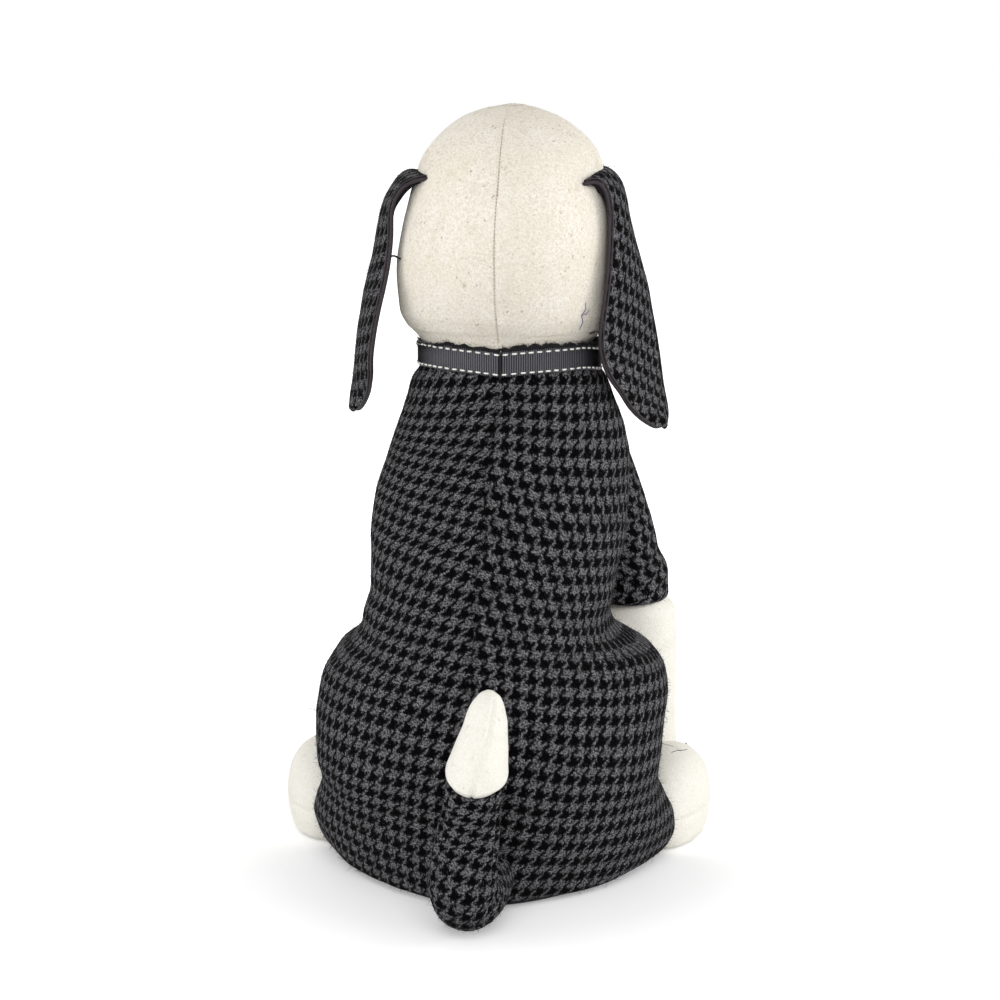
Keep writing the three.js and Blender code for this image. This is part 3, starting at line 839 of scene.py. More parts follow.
def makeRawEdge():
    along = np.linspace(0, ribbonLength, rawEdge["columns"], endpoint=False)
    share = np.linspace(0, 1, rawEdge["rows"])[:, None]
    s = np.broadcast_to(along, (rawEdge["rows"], len(along)))
    near = np.minimum(s, ribbonLength - s)
    top = rawEdgeTop(s) - rawEdge["backDip"] * np.exp(-near / 9)
    lower = np.where(s > ribbonLength / 2, *rawEdge["sideDips"])
    top = top - lower * ease(near, 22, 40) * (1 - ease(near, 84, 104))
    z = rawEdge["low"] + (top - rawEdge["low"]) * share
    frayed = softNoise(np.stack([s, z, s * 0], -1), 1.2, 18)
    grid = ribbonPoints(s, 0 * s, -0.1 + 1.0 * share**2 + 0.25 * frayed)
    grid[..., 2] = z
    cloth = clothSheet("rawNeckEdge", grid, bandUv(s, z), rawEdge["thickness"], closed=True)
    finishPiece(cloth, plain["blackWool"], ())
    rng = np.random.default_rng(11)
    paths = []
    for start in rng.uniform(0, ribbonLength, rawEdge["fibres"]):
        column = int(start / ribbonLength * len(along)) % len(along)
        foot = grid[-1, column] + np.array([0, 0, -0.4])
        outward = np.array([foot[0] - 1, foot[1] - 42, 0]) / 33
        way = unitOf(outward * rng.uniform(0, 0.7) + rng.normal(0, 0.45, 3) + np.array([0, 0, 0.8]))
        length = rng.uniform(0.7, 1.9)
        droop = rng.normal(0, 0.35, 3)
        paths.append([foot + way * length * k + droop * k * k * length for k in (0, 0.35, 0.7, 1)])
    ragged = threads("rawEdgeFibres", paths, rawEdge["fibreRadius"], 4)
    finishPiece(ragged, plain["blackWool"], ())


band = makeRibbonBand()
makeRibbonDashes()
makeRawEdge()
print("ribbon made")


# Head: two felt panels and a gusset over the brow, with the muzzle in one surface

head = {
    # height, half width to the left, to the right, back, front
    "rows": [
        [192, 31.8, 33, 12, 72],
        [197, 32, 33.6, 11.6, 72.6],
        [199.6, 33.4, 36, 10.4, 73],
        [203.4, 37, 38.6, 7, 72.6],
        [210, 40.2, 40.2, 2.4, 71.8],
        [225, 41.6, 40.2, -3.2, 69.8],
        [238, 40.2, 39.8, -5, 68],
        [250, 38.3, 38.3, -4.6, 66.9],
        [261, 36.4, 36.2, -1, 64],
        [270, 33.4, 33.2, 3.8, 60],
        [277.6, 27.4, 27, 10.8, 54],
        [283.4, 19.6, 18.8, 18.4, 46.4],
        [286.9, 10.2, 9.4, 25.6, 39.8],
        [288.1, 2.2, 2, 30.6, 34.6],
    ],
    "seam": [[192, 0.4], [202, 0.4], [217, 0.1], [237, 0.2], [262, 1.3], [282, 1.9], [288.1, 3.4]],
    "rowCount": 120,
    "columnCount": 84,
    "gussetColumns": 30,
    "gussetWidth": 26,
    "gussetLow": 231,
    "swells": [(0.45, 22, 14), (0.16, 8, 15), (0.05, 2.2, 16)],
    "tuckDepth": 0.36,
    "tuckWidth": 0.8,
    "darts": [(-1, 262.5), (1, 261)],  # side and height
    "dartDepth": 1.6,
    "stitch": 1.9,
    "dotPitch": 1.3,
    "dotRadius": 0.13,
    "lean": 3.4,
    "leanFrom": (205, 300),
    # the muzzle: forward place, half width, lower and upper edge
    "muzzle": [[50, 25, 204.6, 251], [62, 25, 203.6, 249], [70, 25, 203.2, 246.6], [85.5, 22, 205.8, 240.6],
               [97, 18, 209, 235.6], [102.6, 11.5, 215.6, 230.4], [104.2, 4, 221.6, 226]],
    "blend": 7,
    "longest": 85,  # farther than any point of the head from its middle
}
headAt = smoothTable(head["rows"])
headSeamAt = smoothTable(head["seam"])
muzzleAt = smoothTable(head["muzzle"])


def headRing(z, count=721):
    # one level ring of skull and muzzle together, with its polar angles, from the left front round the back
    left, right, back, front = headAt(z)[0]
    middleX = head["lean"] * ease(z, *head["leanFrom"]) * 1.25
    middleY = (back + front) / 2
    angles = np.linspace(-1.5 * math.pi, 0.5 * math.pi, count)
    c, s = np.cos(angles), np.sin(angles)
    side = np.where(c > 0, right, left)
    skull = 1 / np.sqrt((c / side) ** 2 + (s / ((front - back) / 2)) ** 2)
    reach = np.linspace(0, head["longest"], 341)
    x = middleX + reach[None, :] * c[:, None]
    y = middleY + reach[None, :] * s[:, None]
    shape = muzzleAt(y.ravel()).reshape(y.shape + (3,))
    middle, half = (shape[..., 1] + shape[..., 2]) / 2, (shape[..., 2] - shape[..., 1]) / 2
    level = np.clip(1 - ((z - middle) / half) ** 2, 0, 1)
    start, end = head["muzzle"][0][0], head["muzzle"][-1][0]
    inside = (np.abs(x) <= shape[..., 0] * np.sqrt(level)) & (y > start) & (y < end) & (level > 0)
    snout = np.where(inside, reach[None, :], 0).max(1)
    k = head["blend"]
    radius = (skull + snout + np.sqrt((skull - snout) ** 2 + k * k)) / 2 - k * k / (4 * np.maximum(skull, 12))
    return np.stack([middleX + radius * c, middleY + radius * s, np.full_like(c, z)], -1), angles


def headRows(count):
    z = np.linspace(head["rows"][0][0], head["rows"][-1][0], 180)
    rings = [headRing(v, 121)[0] for v in z]
    step = [np.linalg.norm(b - a, axis=1).max() for a, b in zip(rings[:-1], rings[1:])]
    return evenPlaces(np.clip(step, 0.4, 6), z, count)


def gussetHalf(z, crownReach):
    full = head["gussetWidth"] / 2
    return np.minimum(full * ease(z, head["gussetLow"] - 1, head["gussetLow"] + 20) + 0.02, 0.6 * crownReach)


headHeights = headRows(head["rowCount"])
headRings = [headRing(z) for z in headHeights]


def smoothRings(rings):
    # takes the small steps out of the muzzle's surface, most under the chin
    table = np.array([r[0] for r in rings])
    for _ in range(3):
        table[1:-1, :, :2] = (table[:-2, :, :2] + 2 * table[1:-1, :, :2] + table[2:, :, :2]) / 4
        table[:, 1:-1, :2] = (table[:, :-2, :2] + 2 * table[:, 1:-1, :2] + table[:, 2:, :2]) / 4
    return [(table[i], r[1]) for i, r in enumerate(rings)]


headRings = smoothRings(headRings)


def headPanel(which):
    columns = head["gussetColumns"] if which == "gusset" else head["columnCount"]
    grid = np.zeros((len(headHeights), columns, 3))
    along = np.zeros(grid.shape[:2])
    keep = []
    for i, (z, (ring, angles)) in enumerate(zip(headHeights, headRings)):
        left, right, back, front = headAt(z)[0]
        half = float(gussetHalf(z, (left + right) / 2))
        shift = head["lean"] * float(ease(z, 262, 289))  # the gusset follows the crown
        backPart = (angles > -2.6) & (angles < -0.5)
        frontPart = (angles > 0) | (angles < -math.pi)
        seam = float(np.interp(headSeamAt(z)[0, 0], ring[backPart, 0], angles[backPart]))
        order = np.argsort(ring[frontPart, 0])
        frontAngle = np.where(angles > 0, angles - 2 * math.pi, angles)[frontPart][order]
        frontX = ring[frontPart, 0][order]
        rightEnd = float(np.interp(shift + half, frontX, frontAngle)) + 2 * math.pi
        leftEnd = float(np.interp(shift - half, frontX, frontAngle))
        if which == "right":
            span = (seam, rightEnd)
        elif which == "left":
            span = (leftEnd, seam)
        else:
            span = (rightEnd - 2 * math.pi, leftEnd)
            if z < head["gussetLow"]:
                continue
        dense = np.linspace(span[0], span[1], 300)
        wrapped = np.mod(dense + 1.5 * math.pi, 2 * math.pi) - 1.5 * math.pi
        line = np.stack([np.interp(wrapped, angles, ring[:, k]) for k in range(3)], 1)
        grid[i], along[i] = evenly(line, closerAtEnds(columns))
        keep.append(i)
    return grid[keep], along[keep]


def makeHeadPanel(name, which, replaced, seedStart):
    grid, along = headPanel(which)
    fromEnd = along[:, -1:] - along
    normal = gridNormals(grid)
    height = grid[..., 2].copy()
    stitched = 0.7 + 0.3 * np.cos(2 * math.pi * height / head["stitch"])
    depth = head["tuckDepth"] * stitched * (1 - 0.85 * ease(height, 276, 286))
    depth = depth * (0.25 + 0.75 * ease(along[:, -1:], 1, 12))
    push = edgeTuck(along, depth, head["tuckWidth"], seedStart, height) * ease(height, 196, 204)
    push += edgeTuck(fromEnd, depth, head["tuckWidth"], seedStart + 1, height) * ease(height, 196, 204)
    push += uneven(grid, head["swells"])
    for side, dartZ in head["darts"]:
        # a short dart where the ear is sewn in
        line = hump(height - dartZ - 0.05 * (grid[..., 1] - 30), 0.9)
        reach = ease(side * grid[..., 0], 24, 30) * ease(grid[..., 1], 9, 16)
        push -= head["dartDepth"] * line * reach * (1 - ease(grid[..., 1], 46, 50))
    grid += normal * push[..., None]
    cover = clothSheet(name, grid, np.stack([along, height], -1), 1.2)
    finishPiece(cover, headFelt, replaced)
    return grid


rightHead = makeHeadPanel("headPanel_right", "right", ("head_panel_right", "head_stuffing"), 50)
makeHeadPanel("headPanel_left", "left", ("head_panel_left",), 54)
makeHeadPanel("faceGusset", "gusset", ("face_gusset",), 58)


def makeSeamDots():
    # the stitches that show along the head's back seam
    line = rightHead[(rightHead[:, 0, 2] > 199) & (rightHead[:, 0, 2] < 284), 0]
    count = int(stepsOf(line).sum() / head["dotPitch"])
    paths = []
    for k in range(count):
        ends, _ = evenly(line, [(k + 0.25) / count, (k + 0.5) / count, (k + 0.75) / count])
        paths.append(ends + np.array([0, -1, 0.2]) * np.array([[0.12], [0.3], [0.12]]))
    finishPiece(threads("headSeamStitches", paths, head["dotRadius"], 6), plain["creamThread"])


makeSeamDots()


def onHead(x, z, front=True):
    # a point on the front or the back of the head
    ring, angles = headRings[int(np.argmin(np.abs(headHeights - z)))]
    if front:
        part = ring[(angles > 0.2) | (angles < -math.pi - 0.2)]
    else:
        part = ring[(angles > -2.9) & (angles < -0.2)]
    part = part[np.argsort(part[:, 0])]
    return np.array([x, float(np.interp(x, part[:, 0], part[:, 1])), z])


def ballForm(name, middle, size, shape=None):
    # a rounded form of rings; shape changes unit points before they are scaled
    rows, cols = 36, 56
    lat = np.linspace(-math.pi / 2 + 0.04, math.pi / 2 - 0.04, rows)
    lon = around(cols)
    a, b = np.meshgrid(lat, lon, indexing="ij")
    unit = np.stack([np.cos(a) * np.cos(b), np.cos(a) * np.sin(b), np.sin(a)], -1)
    if shape:
        unit = shape(unit)
    grid = unit * np.array(size) / 2 + np.array(middle)
    return closedForm(name, grid, ringUv(grid))


face = {
    "nose": (0, 103.6, 230.4),
    "noseSize": (18.4, 11.4, 12.6),
    "eyeX": 17,
    "eyeZ": 249,
    "eyeSize": 9.2,
    "mouthRadius": 0.5,
    "mouth": [[0, 224], [0, 219], [0, 214.5]],
    "smile": [[0, 214.5], [3.5, 211.6], [8, 211], [12.5, 213.4], [15.4, 217.4]],
}


def noseShape(unit):
    x, y, z = unit[..., 0], unit[..., 1], unit[..., 2]
    narrow = 1 - 0.3 * ease(-z, -0.2, 1)
    flat = np.sign(z) * np.abs(z) ** 0.85
    nostril = np.exp(-(((np.abs(x) - 0.42) / 0.16) ** 2 + ((z + 0.12) / 0.2) ** 2)) * (y > 0)
    return np.stack([x * narrow, y - 0.2 * nostril, flat - 0.12 * (1 - x * x) * (z > 0.5)], -1)


nose = ballForm("noseBead", face["nose"], face["noseSize"], noseShape)
finishPiece(nose, beadGloss, ("nose",))
for side, label in ((-1, "left"), (1, "right")):
    spot = onHead(side * face["eyeX"], face["eyeZ"]) + np.array([0, -0.6, 0])
    eye = ballForm(f"eyeBead_{label}", spot, [face["eyeSize"]] * 3)
    finishPiece(eye, beadGloss, (f"eye_{label}",))


def faceLine(points, lift=0.25, count=16):
    table = smoothTable([[i, *p] for i, p in enumerate(points)], True)
    return [onHead(x, z) + np.array([0, lift, 0]) for x, z in table(np.linspace(0, len(points) - 1, count))]


mouthPaths = [faceLine(face["mouth"])]
mouthPaths += [faceLine([[side * x, z] for x, z in face["smile"]]) for side in (-1, 1)]
finishPiece(threads("mouthStitches", mouthPaths, face["mouthRadius"]), plain["darkThread"])
print("head made")


# Ears: houndstooth outside and a darker lining that rolls round the edge

earEdges = {
    # share of the length, then rear edge x, y, z and front edge x, y, z
    "right": [
        [0, 30.6, 13.4, 259.4, 29.5, 40, 259.5],
        [0.03, 34.2, 12.8, 260.2, 33.8, 41, 262.6],
        [0.06, 37, 13.2, 260.8, 37.6, 42, 263.4],
        [0.1, 39, 14.6, 258.8, 42.4, 44, 259.6],
        [0.14, 40.2, 16.2, 256.6, 44.6, 46, 254],
        [0.2, 41, 18, 250.6, 46.4, 49, 246],
        [0.3, 41, 18, 240, 49.4, 53, 232.4],
        [0.42, 40.8, 17.4, 227.6, 52, 56.5, 220.4],
        [0.52, 39.5, 17.2, 215.4, 54.4, 60, 208],
        [0.62, 38.2, 17.6, 204.2, 56.3, 62, 197.5],
        [0.7, 38.4, 19.4, 196, 57.8, 64, 187],
        [0.78, 40.6, 22.2, 187.6, 59.2, 65.6, 177.6],
        [0.86, 44.8, 27.4, 179.8, 60.8, 66, 170.6],
        [0.93, 50, 35.6, 172.2, 62.2, 64.4, 165.8],
        [0.98, 56.2, 43.8, 166.4, 62.2, 59.6, 163.4],
        [1, 59.6, 48.6, 164, 61.8, 55.6, 162.6],
    ],
    "left": [
        [0, -26.4, 14, 261.4, -28.6, 40, 259.4],
        [0.03, -29.6, 13.6, 260.8, -34, 40.6, 261.6],
        [0.06, -33.4, 14, 259.6, -37.4, 41.6, 261.6],
        [0.1, -37, 15.2, 256.6, -41, 43.2, 258.6],
        [0.14, -39.4, 16.4, 252.8, -43.6, 44.8, 254.6],
        [0.2, -40.8, 17.4, 248.6, -46, 47.4, 248],
        [0.28, -41, 18, 240, -48.4, 50.4, 240],
        [0.38, -41.6, 18, 230.4, -50.6, 53.6, 230.4],
        [0.48, -43.6, 17.6, 219.6, -53.4, 57, 220.4],
        [0.58, -46.2, 17.6, 209, -55.8, 59.6, 210.4],
        [0.68, -48.4, 18.6, 199.4, -57.6, 62, 199.6],
        [0.76, -49.6, 21.2, 191.4, -59.2, 63.8, 189.6],
        [0.84, -50.4, 27, 183.6, -61.2, 64.6, 178.4],
        [0.91, -53, 35, 177, -63, 63, 171.8],
        [0.97, -57.4, 43.4, 171.4, -62.6, 58, 168.4],
        [1, -59.6, 47.6, 169.4, -61.8, 54.4, 167.8],
    ],
}
ear = {
    "rowCount": 96,
    "columnCount": 34,
    "cloth": 1.5,
    "lining": 0.9,
    "camber": 2.4,
    "tipCurl": 1.6,
    "edgePower": 14,  # the higher, the squarer the leaf's edges
    "swells": [(0.7, 24, 21), (0.22, 8, 22)],
    "grain": {"right": -14, "left": 14},
    "rims": ((0.75, 0.1, 0), (0.36, 1.25, 1.3)),  # radius, lift and how far in
    "rimPoints": 260,
    "fall": {"right": 0.36, "left": -0.2},
    "flat": (0.052, 0.118),  # metres, of the leaf laid flat, and its area below
    "flatArea": 0.0045,
    "foldRows": 24,
    "foldSet": 1.2,
    "foldBow": 0.8,
    "fold": {"right": 4.6, "left": 2},
}


def earFace(side):
    # the ear's middle face: rows down its length, columns counter-clockwise seen from outside
    table = smoothTable(earEdges[side], True)
    blade = np.linspace(0.15, 0.86, ear["rowCount"] - 40)
    t = np.concatenate([np.linspace(0, 0.14, 18), blade, np.linspace(0.87, 1, 22)])
    edges = table(t)[::-1]
    rear, front = edges[:, None, :3], edges[:, None, 3:]
    u = np.linspace(0, 1, ear["columnCount"])[None, :, None]
    if side == "left":
        rear, front = front, rear
    grid = rear + (front - rear) * u
    normal = gridNormals(grid)
    t = t[::-1][:, None]
    bow = ear["camber"] * 4 * u[..., 0] * (1 - u[..., 0])
    bow = bow * (0.35 + 0.65 * ease(t, 0.05, 0.3)) * (1 - 0.6 * ease(t, 0.8, 1))
    ripple = uneven(grid, ear["swells"])
    curl = -ear["tipCurl"] * ease(t, 0.84, 1) * np.abs(2 * u[..., 0] - 1) ** 2
    return grid + normal * (bow + ripple * ease(t, 0, 0.2) * (1 - ease(t, 0.9, 1)) + curl)[..., None]


def leaf(name, grid, low, high, inset, turn, fall):
    # a leaf with rounded edges between two offsets from the middle face
    normal = gridNormals(grid)
    rows, cols = grid.shape[:2]
    slim = np.sqrt(np.clip(1 - np.abs(np.linspace(-1, 1, cols)) ** ear["edgePower"], 0.02, 1))[None, :, None]
    middle, half = (low + high) / 2, (high - low) / 2
    outer = grid + normal * (middle + half * slim)
    inner = grid + normal * (middle - half * slim)
    rings = np.concatenate([outer, inner[:, ::-1]], 1)
    centre = grid.mean(1, keepdims=True)
    shrink = 1 - inset / np.maximum(np.linalg.norm(grid[:, -1] - grid[:, 0], axis=1), 4 * inset + 1)
    rings = centre + (rings - centre) * shrink[:, None, None]
    # the cloth's threads run straight across the leaf and down its length
    across = grid[rows // 2, -1] - grid[rows // 2, 0]
    across[2] = 0
    wide = grid.dot(across / np.linalg.norm(across))
    spine = grid[:, cols // 2]
    down = runOf(stepsOf(spine))[:, None]
    down = down + (grid[..., 2] - spine[:, None, 2]) * (1 - ease(down, down[-1] - 24, down[-1] - 8))
    c, s = math.cos(turn), math.sin(turn)
    flat = np.stack([wide * c - down * s, wide * fall + down * c], -1)
    return closedForm(name, rings, np.concatenate([flat, flat[:, ::-1], flat[:, :1]], 1))


def smoothed(path, times):
    for _ in range(times):
        path[1:-1] = (path[:-2] + 2 * path[1:-1] + path[2:]) / 4
    return path


for side in ("right", "left"):
    grid = earFace(side)
    normal = gridNormals(grid)
    woolSurfaces.append(grid + normal * ear["cloth"])
    turn = math.radians(ear["grain"][side])
    outer = leaf(f"earCloth_{side}", grid, 0.05, ear["cloth"], 0.8, turn, ear["fall"][side])
    finishPiece(outer, houndstoothCloth, (f"ear_{side}_outer",))
    lining = leaf(f"earLining_{side}", grid, -ear["lining"], -0.05, 0.2, turn, ear["fall"][side])
    finishPiece(lining, plain["earLining"], (f"ear_{side}_lining",))
    for k, (radius, lift, pulledIn) in enumerate(ear["rims"]):
        # two rolled rims: the lining turned over the edge, and its inner fold
        rim = grid + normal * lift
        centre = rim.mean(1, keepdims=True)
        width = np.maximum(np.linalg.norm(rim[:, -1] - rim[:, 0], axis=1), 4)
        rim = centre + (rim - centre) * (1 - pulledIn / width)[:, None, None]
        edge = np.concatenate([rim[::-1, 0], rim[0, 1:-1], rim[:, -1]])
        path = smoothed(evenly(edge, np.linspace(0, 1, ear["rimPoints"]))[0], 5)
        rim = threads(f"earRim{k + 1}_{side}", [path], radius, 10)
        finishPiece(rim, (plain["earLining"], plain["earRim"])[k], ())
    # the fold of the lining under the arch, from the rear edge in towards the head; its black is painted
    # shade of the hollow under the arch
    top = len(grid) - ear["foldRows"]
    rear = grid[top:, 0] if side == "right" else grid[top:, -1]
    share = np.linspace(0, 1, len(rear))[:, None]
    inward = np.array([-0.8 if side == "right" else 0.8, 0.5, -0.35])
    width = ear["fold"][side] * np.sin(math.pi * share * 0.88) ** 1.3 + 0.1
    steps = np.linspace(0, 1, 9)[None, :, None]
    fold = rear[:, None, :] + inward * width[:, None, :] * steps
    fold[..., 1] += ear["foldSet"] + ear["foldBow"] * np.sin(steps[..., 0] * math.pi)
    if side == "right":
        fold = fold[:, ::-1]
    flat = np.stack([np.broadcast_to(np.linspace(0, 4, 9), fold.shape[:2]), fold[..., 2]], -1)
    fold = clothSheet(f"earFold_{side}", fold, flat, 0.5)
    finishPiece(fold, plain["blackWool"], ())
print("ears made")


# Forelegs in felt, with houndstooth sleeves

flatUnder = (0.2, 3)  # the stuffing swells the feet from the first of these heights, and fully at the second
leg = {
    "middleX": {-1: -39.5, 1: 49.5},
    "middleY": 62,
    # height, half width, back, front, all from the leg's middle
    "rows": [
        [0.2, 12.6, 11.8, 23.5],
        [1.4, 15.2, 14.4, 28.2],
        [5, 18.2, 17.1, 31.4],
        [13, 19.2, 17.8, 33],
        [20, 18.8, 17.5, 31],
        [27, 18, 17.3, 25.4],
        [34, 17.4, 17.3, 19.6],
        [46, 17.2, 17.2, 17.4],
        [70, 17.2, 17.1, 17.3],
        [87, 17, 16.9, 17],
        [90, 16, 15.8, 16],
        [92.6, 13.4, 13.6, 14],
        [97, 12.2, 12.6, 12.6],
        [102, 9, 9, 9],
    ],
    "around": 84,
    "rowCount": 88,
    "swells": {-1: [(0.5, 18, 30), (0.15, 6, 33)], 1: [(0.5, 18, 32), (0.15, 6, 33)]},
    "seamDepth": 0.8,
    "squareness": 0.95,
    "toes": [-7.2, 7.2],
    "toeLine": [(36, 4), (36, 12), (30, 21), (24, 26)],  # how far forward, and how high
}
sleeve = {
    # height, x and y of its middle, half width, half depth; x is for the right sleeve
    1: [
        [92.6, 46.6, 61.2, 14.6, 16.6],
        [93.3, 46.8, 61, 16, 17.9],
        [95, 46.9, 60.8, 16.5, 18.4],
        [104, 46.4, 60, 16, 18.6],
        [118, 43.4, 57.6, 15.6, 18.4],
        [134, 40, 54.6, 14.6, 17.6],
        [148, 36.6, 51.6, 13.2, 16.2],
        [158, 34.4, 49.4, 11.6, 14.4],
        [168, 32, 47.4, 9, 11.4],
        [174, 30.6, 46.6, 4.6, 6],
    ],
    -1: [
        [93.4, -39, 61.2, 14.6, 16.6],
        [94.2, -39, 61, 15.6, 17.6],
        [96, -39, 60.8, 16, 18],
        [104, -38.6, 60, 15.9, 18],
        [118, -36.8, 57.6, 14.8, 17.6],
        [134, -34.4, 54.4, 13.2, 16.2],
        [148, -32, 51.4, 11, 14],
        [158, -30.4, 49, 8, 10],
        [162, -29.8, 48.4, 4, 5],
    ],
    "around": 96,
    "rowCount": 76,
    "swells": {-1: [(0.7, 20, 35), (0.25, 7, 38)], 1: [(0.7, 20, 37), (0.25, 7, 38)]},
    "wrinkle": 0.45,
    "grain": (16, 38),
}


def ringGrid(rows, count, make, rowCount):
    # rings at even steps of a smooth table
    table = smoothTable(rows)
    place = np.linspace(rows[0][0], rows[-1][0], 500)
    values = table(place)
    place = evenPlaces(np.hypot(np.diff(place), np.abs(np.diff(values[:, -2]))), place, rowCount)
    angles = around(count) - math.pi / 2
    return np.array([make(z, row, angles) for z, row in zip(place, table(place))])


def legRing(side):
    def make(z, row, angles):
        half, back, front = row
        c, s = np.cos(angles), np.sin(angles)
        x = leg["middleX"][side] + half * signedPower(c, leg["squareness"])
        y = leg["middleY"] + np.where(s > 0, front, back) * signedPower(s, leg["squareness"])
        return np.stack([x, y, np.full_like(x, z)], -1)

    return make


def sleeveRing(z, row, angles):
    x, y, half, deep = row
    return np.stack([x + half * np.cos(angles), y + deep * np.sin(angles), np.full_like(angles, z)], -1)


def nearest(grid, point):
    # the closest point of a form's surface, and the direction out of it
    flat = grid.reshape(-1, 3)
    at = int(np.argmin(((flat - point) ** 2).sum(1)))
    return flat[at], gridNormals(grid, True).reshape(-1, 3)[at]


def surfaceLine(grid, points, lift, count):
    points = np.array(points, float)
    way = smoothTable([[i, *p] for i, p in enumerate(points)], True)(np.linspace(0, len(points) - 1, count))
    return smoothed(np.array([sum((nearest(grid, p)[0], nearest(grid, p)[1] * lift)) for p in way]), 2)


toeStitch = 0.3  # radius, and how far it stands off the felt


def makeToeStitches(name, grid, ways, count):
    lines = [surfaceLine(grid, way, toeStitch, count) for way in ways]
    finishPiece(threads(name, lines, toeStitch), plain["darkThread"])


for side, label in ((-1, "left"), (1, "right")):
    grid = ringGrid(leg["rows"], leg["around"], legRing(side), leg["rowCount"])
    normal = gridNormals(grid, True)
    push = uneven(grid, leg["swells"][side])
    seamDistance = np.abs(grid[..., 0] - leg["middleX"][side]) + 40 * (grid[..., 1] < leg["middleY"])
    push -= leg["seamDepth"] * hump(seamDistance, 1.2) * ease(grid[..., 2], 2, 6)
    for offset in leg["toes"]:
        groove = np.abs(grid[..., 0] - leg["middleX"][side] - offset)
        push -= 1.0 * hump(groove, 1.4) * ease(grid[..., 1] - leg["middleY"], 19, 27)
    grid = grid + normal * (push * ease(grid[..., 2], *flatUnder))[..., None]
    form = closedForm(f"frontLeg_{label}", grid, ringUv(grid))
    finishPiece(form, whiterFeltWithPaintedLight, (f"front_leg_{label}", f"front_leg_stuffing_{label}"))
    x, y = leg["middleX"][side], leg["middleY"]
    ways = [[[x + offset, y + far, z] for far, z in leg["toeLine"]] for offset in leg["toes"]]
    makeToeStitches(f"pawStitches_{label}", grid, ways, 14)

    cuff = ringGrid(sleeve[side], sleeve["around"], sleeveRing, sleeve["rowCount"])
    normal = gridNormals(cuff, True)
    rise = ease(cuff[..., 2], 95, 104)
    folds = np.sin(cuff[..., 2] / 3.1 + 2.2 * softNoise(cuff, 16, 35))
    folds = folds * hump(cuff[..., 2] - 108, 12)
    push = rise * uneven(cuff, sleeve["swells"][side])
    push += sleeve["wrinkle"] * folds * rise
    cuff = cuff + normal * push[..., None]
    woolSurfaces.append(cuff)
    flat = ringUv(cuff, *[math.radians(a * side) for a in sleeve["grain"]])
    form = clothSheet(f"sleeveCover_{label}", cuff, flat, 1.2, closed=True)
    finishPiece(form, houndstoothCloth, (f"sleeve_{label}",))
print("forelegs made")


# Hind feet: flat pads under the haunches with toe stitches

foot = {
    "middleX": {-1: -68.5, 1: 61.4},
    "middleY": 45,
    "turn": math.radians(12),
    "length": 62,
    "width": 38,
    # height and share of the length and width
    "rows": [[0.2, 0.7], [1.2, 0.82], [4, 0.915], [9, 0.975], [15, 1], [21, 0.97], [27, 0.87], [32, 0.68],
             [35, 0.45], [36.6, 0.2], [37, 0.05]],
    "around": 90,
    "swells": {-1: [(0.5, 16, 40), (0.16, 5, 43)], 1: [(0.5, 16, 42), (0.16, 5, 43)]},
    "toeDepth": 1.3,
    "seamDepth": 0.7,
    "seamHeight": 13,
    "squareness": 0.9,
    "lean": 1.4,
    "toes": [-6.4, 6.4],
    "toeLine": [(33, 5), (33, 14), (29, 24), (22, 30), (15, 34)],  # how far forward, and how high
}


def footPlace(side, x, y, z):
    # from across, along and up the foot to the dog's own directions
    x, y = turned(x, y, -side * foot["turn"])
    return np.stack([foot["middleX"][side] + x, foot["middleY"] + y, z], -1)


def footGrid(side):
    def make(z, row, angles):
        share = row[0]
        c, s = np.cos(angles), np.sin(angles)
        x = foot["width"] / 2 * share * signedPower(c, foot["squareness"])
        y = foot["length"] / 2 * share * signedPower(s, foot["squareness"])
        y = y + foot["lean"] * (z / foot["rows"][-1][0]) * (y < 0)
        return footPlace(side, x, y, np.full_like(x, z))

    table = smoothTable(foot["rows"])
    place = np.concatenate([np.linspace(0.2, 4, 10), np.linspace(5, 27, 26), np.linspace(27.5, 37, 22)])
    angles = around(foot["around"])
    return np.array([make(z, row, angles) for z, row in zip(place, table(place))])


for side, label in ((-1, "left"), (1, "right")):
    grid = footGrid(side)
    local = grid[..., :2] - np.array([foot["middleX"][side], foot["middleY"]])
    acrossFoot, alongFoot = turned(local[..., 0], local[..., 1], side * foot["turn"])
    normal = gridNormals(grid, True)
    push = uneven(grid, foot["swells"][side])
    for offset in foot["toes"]:
        push -= foot["toeDepth"] * hump(acrossFoot - offset, 1.5) * ease(alongFoot, 15, 23)
    push -= foot["seamDepth"] * hump(grid[..., 2] - foot["seamHeight"], 1) * (1 - ease(alongFoot, -8, 4))
    grid = grid + normal * (push * ease(grid[..., 2], *flatUnder))[..., None]
    form = closedForm(f"hindFoot_{label}", grid, ringUv(grid))
    finishPiece(form, whiterFeltWithPaintedLight, (f"hind_foot_{label}", f"hind_foot_stuffing_{label}"))
    ways = [[footPlace(side, offset, far, z) for far, z in foot["toeLine"]] for offset in foot["toes"]]
    makeToeStitches(f"footStitches_{label}", grid, ways, 16)
print("feet made")


# Tail: a stuffed tube that turns up, with a felt tip

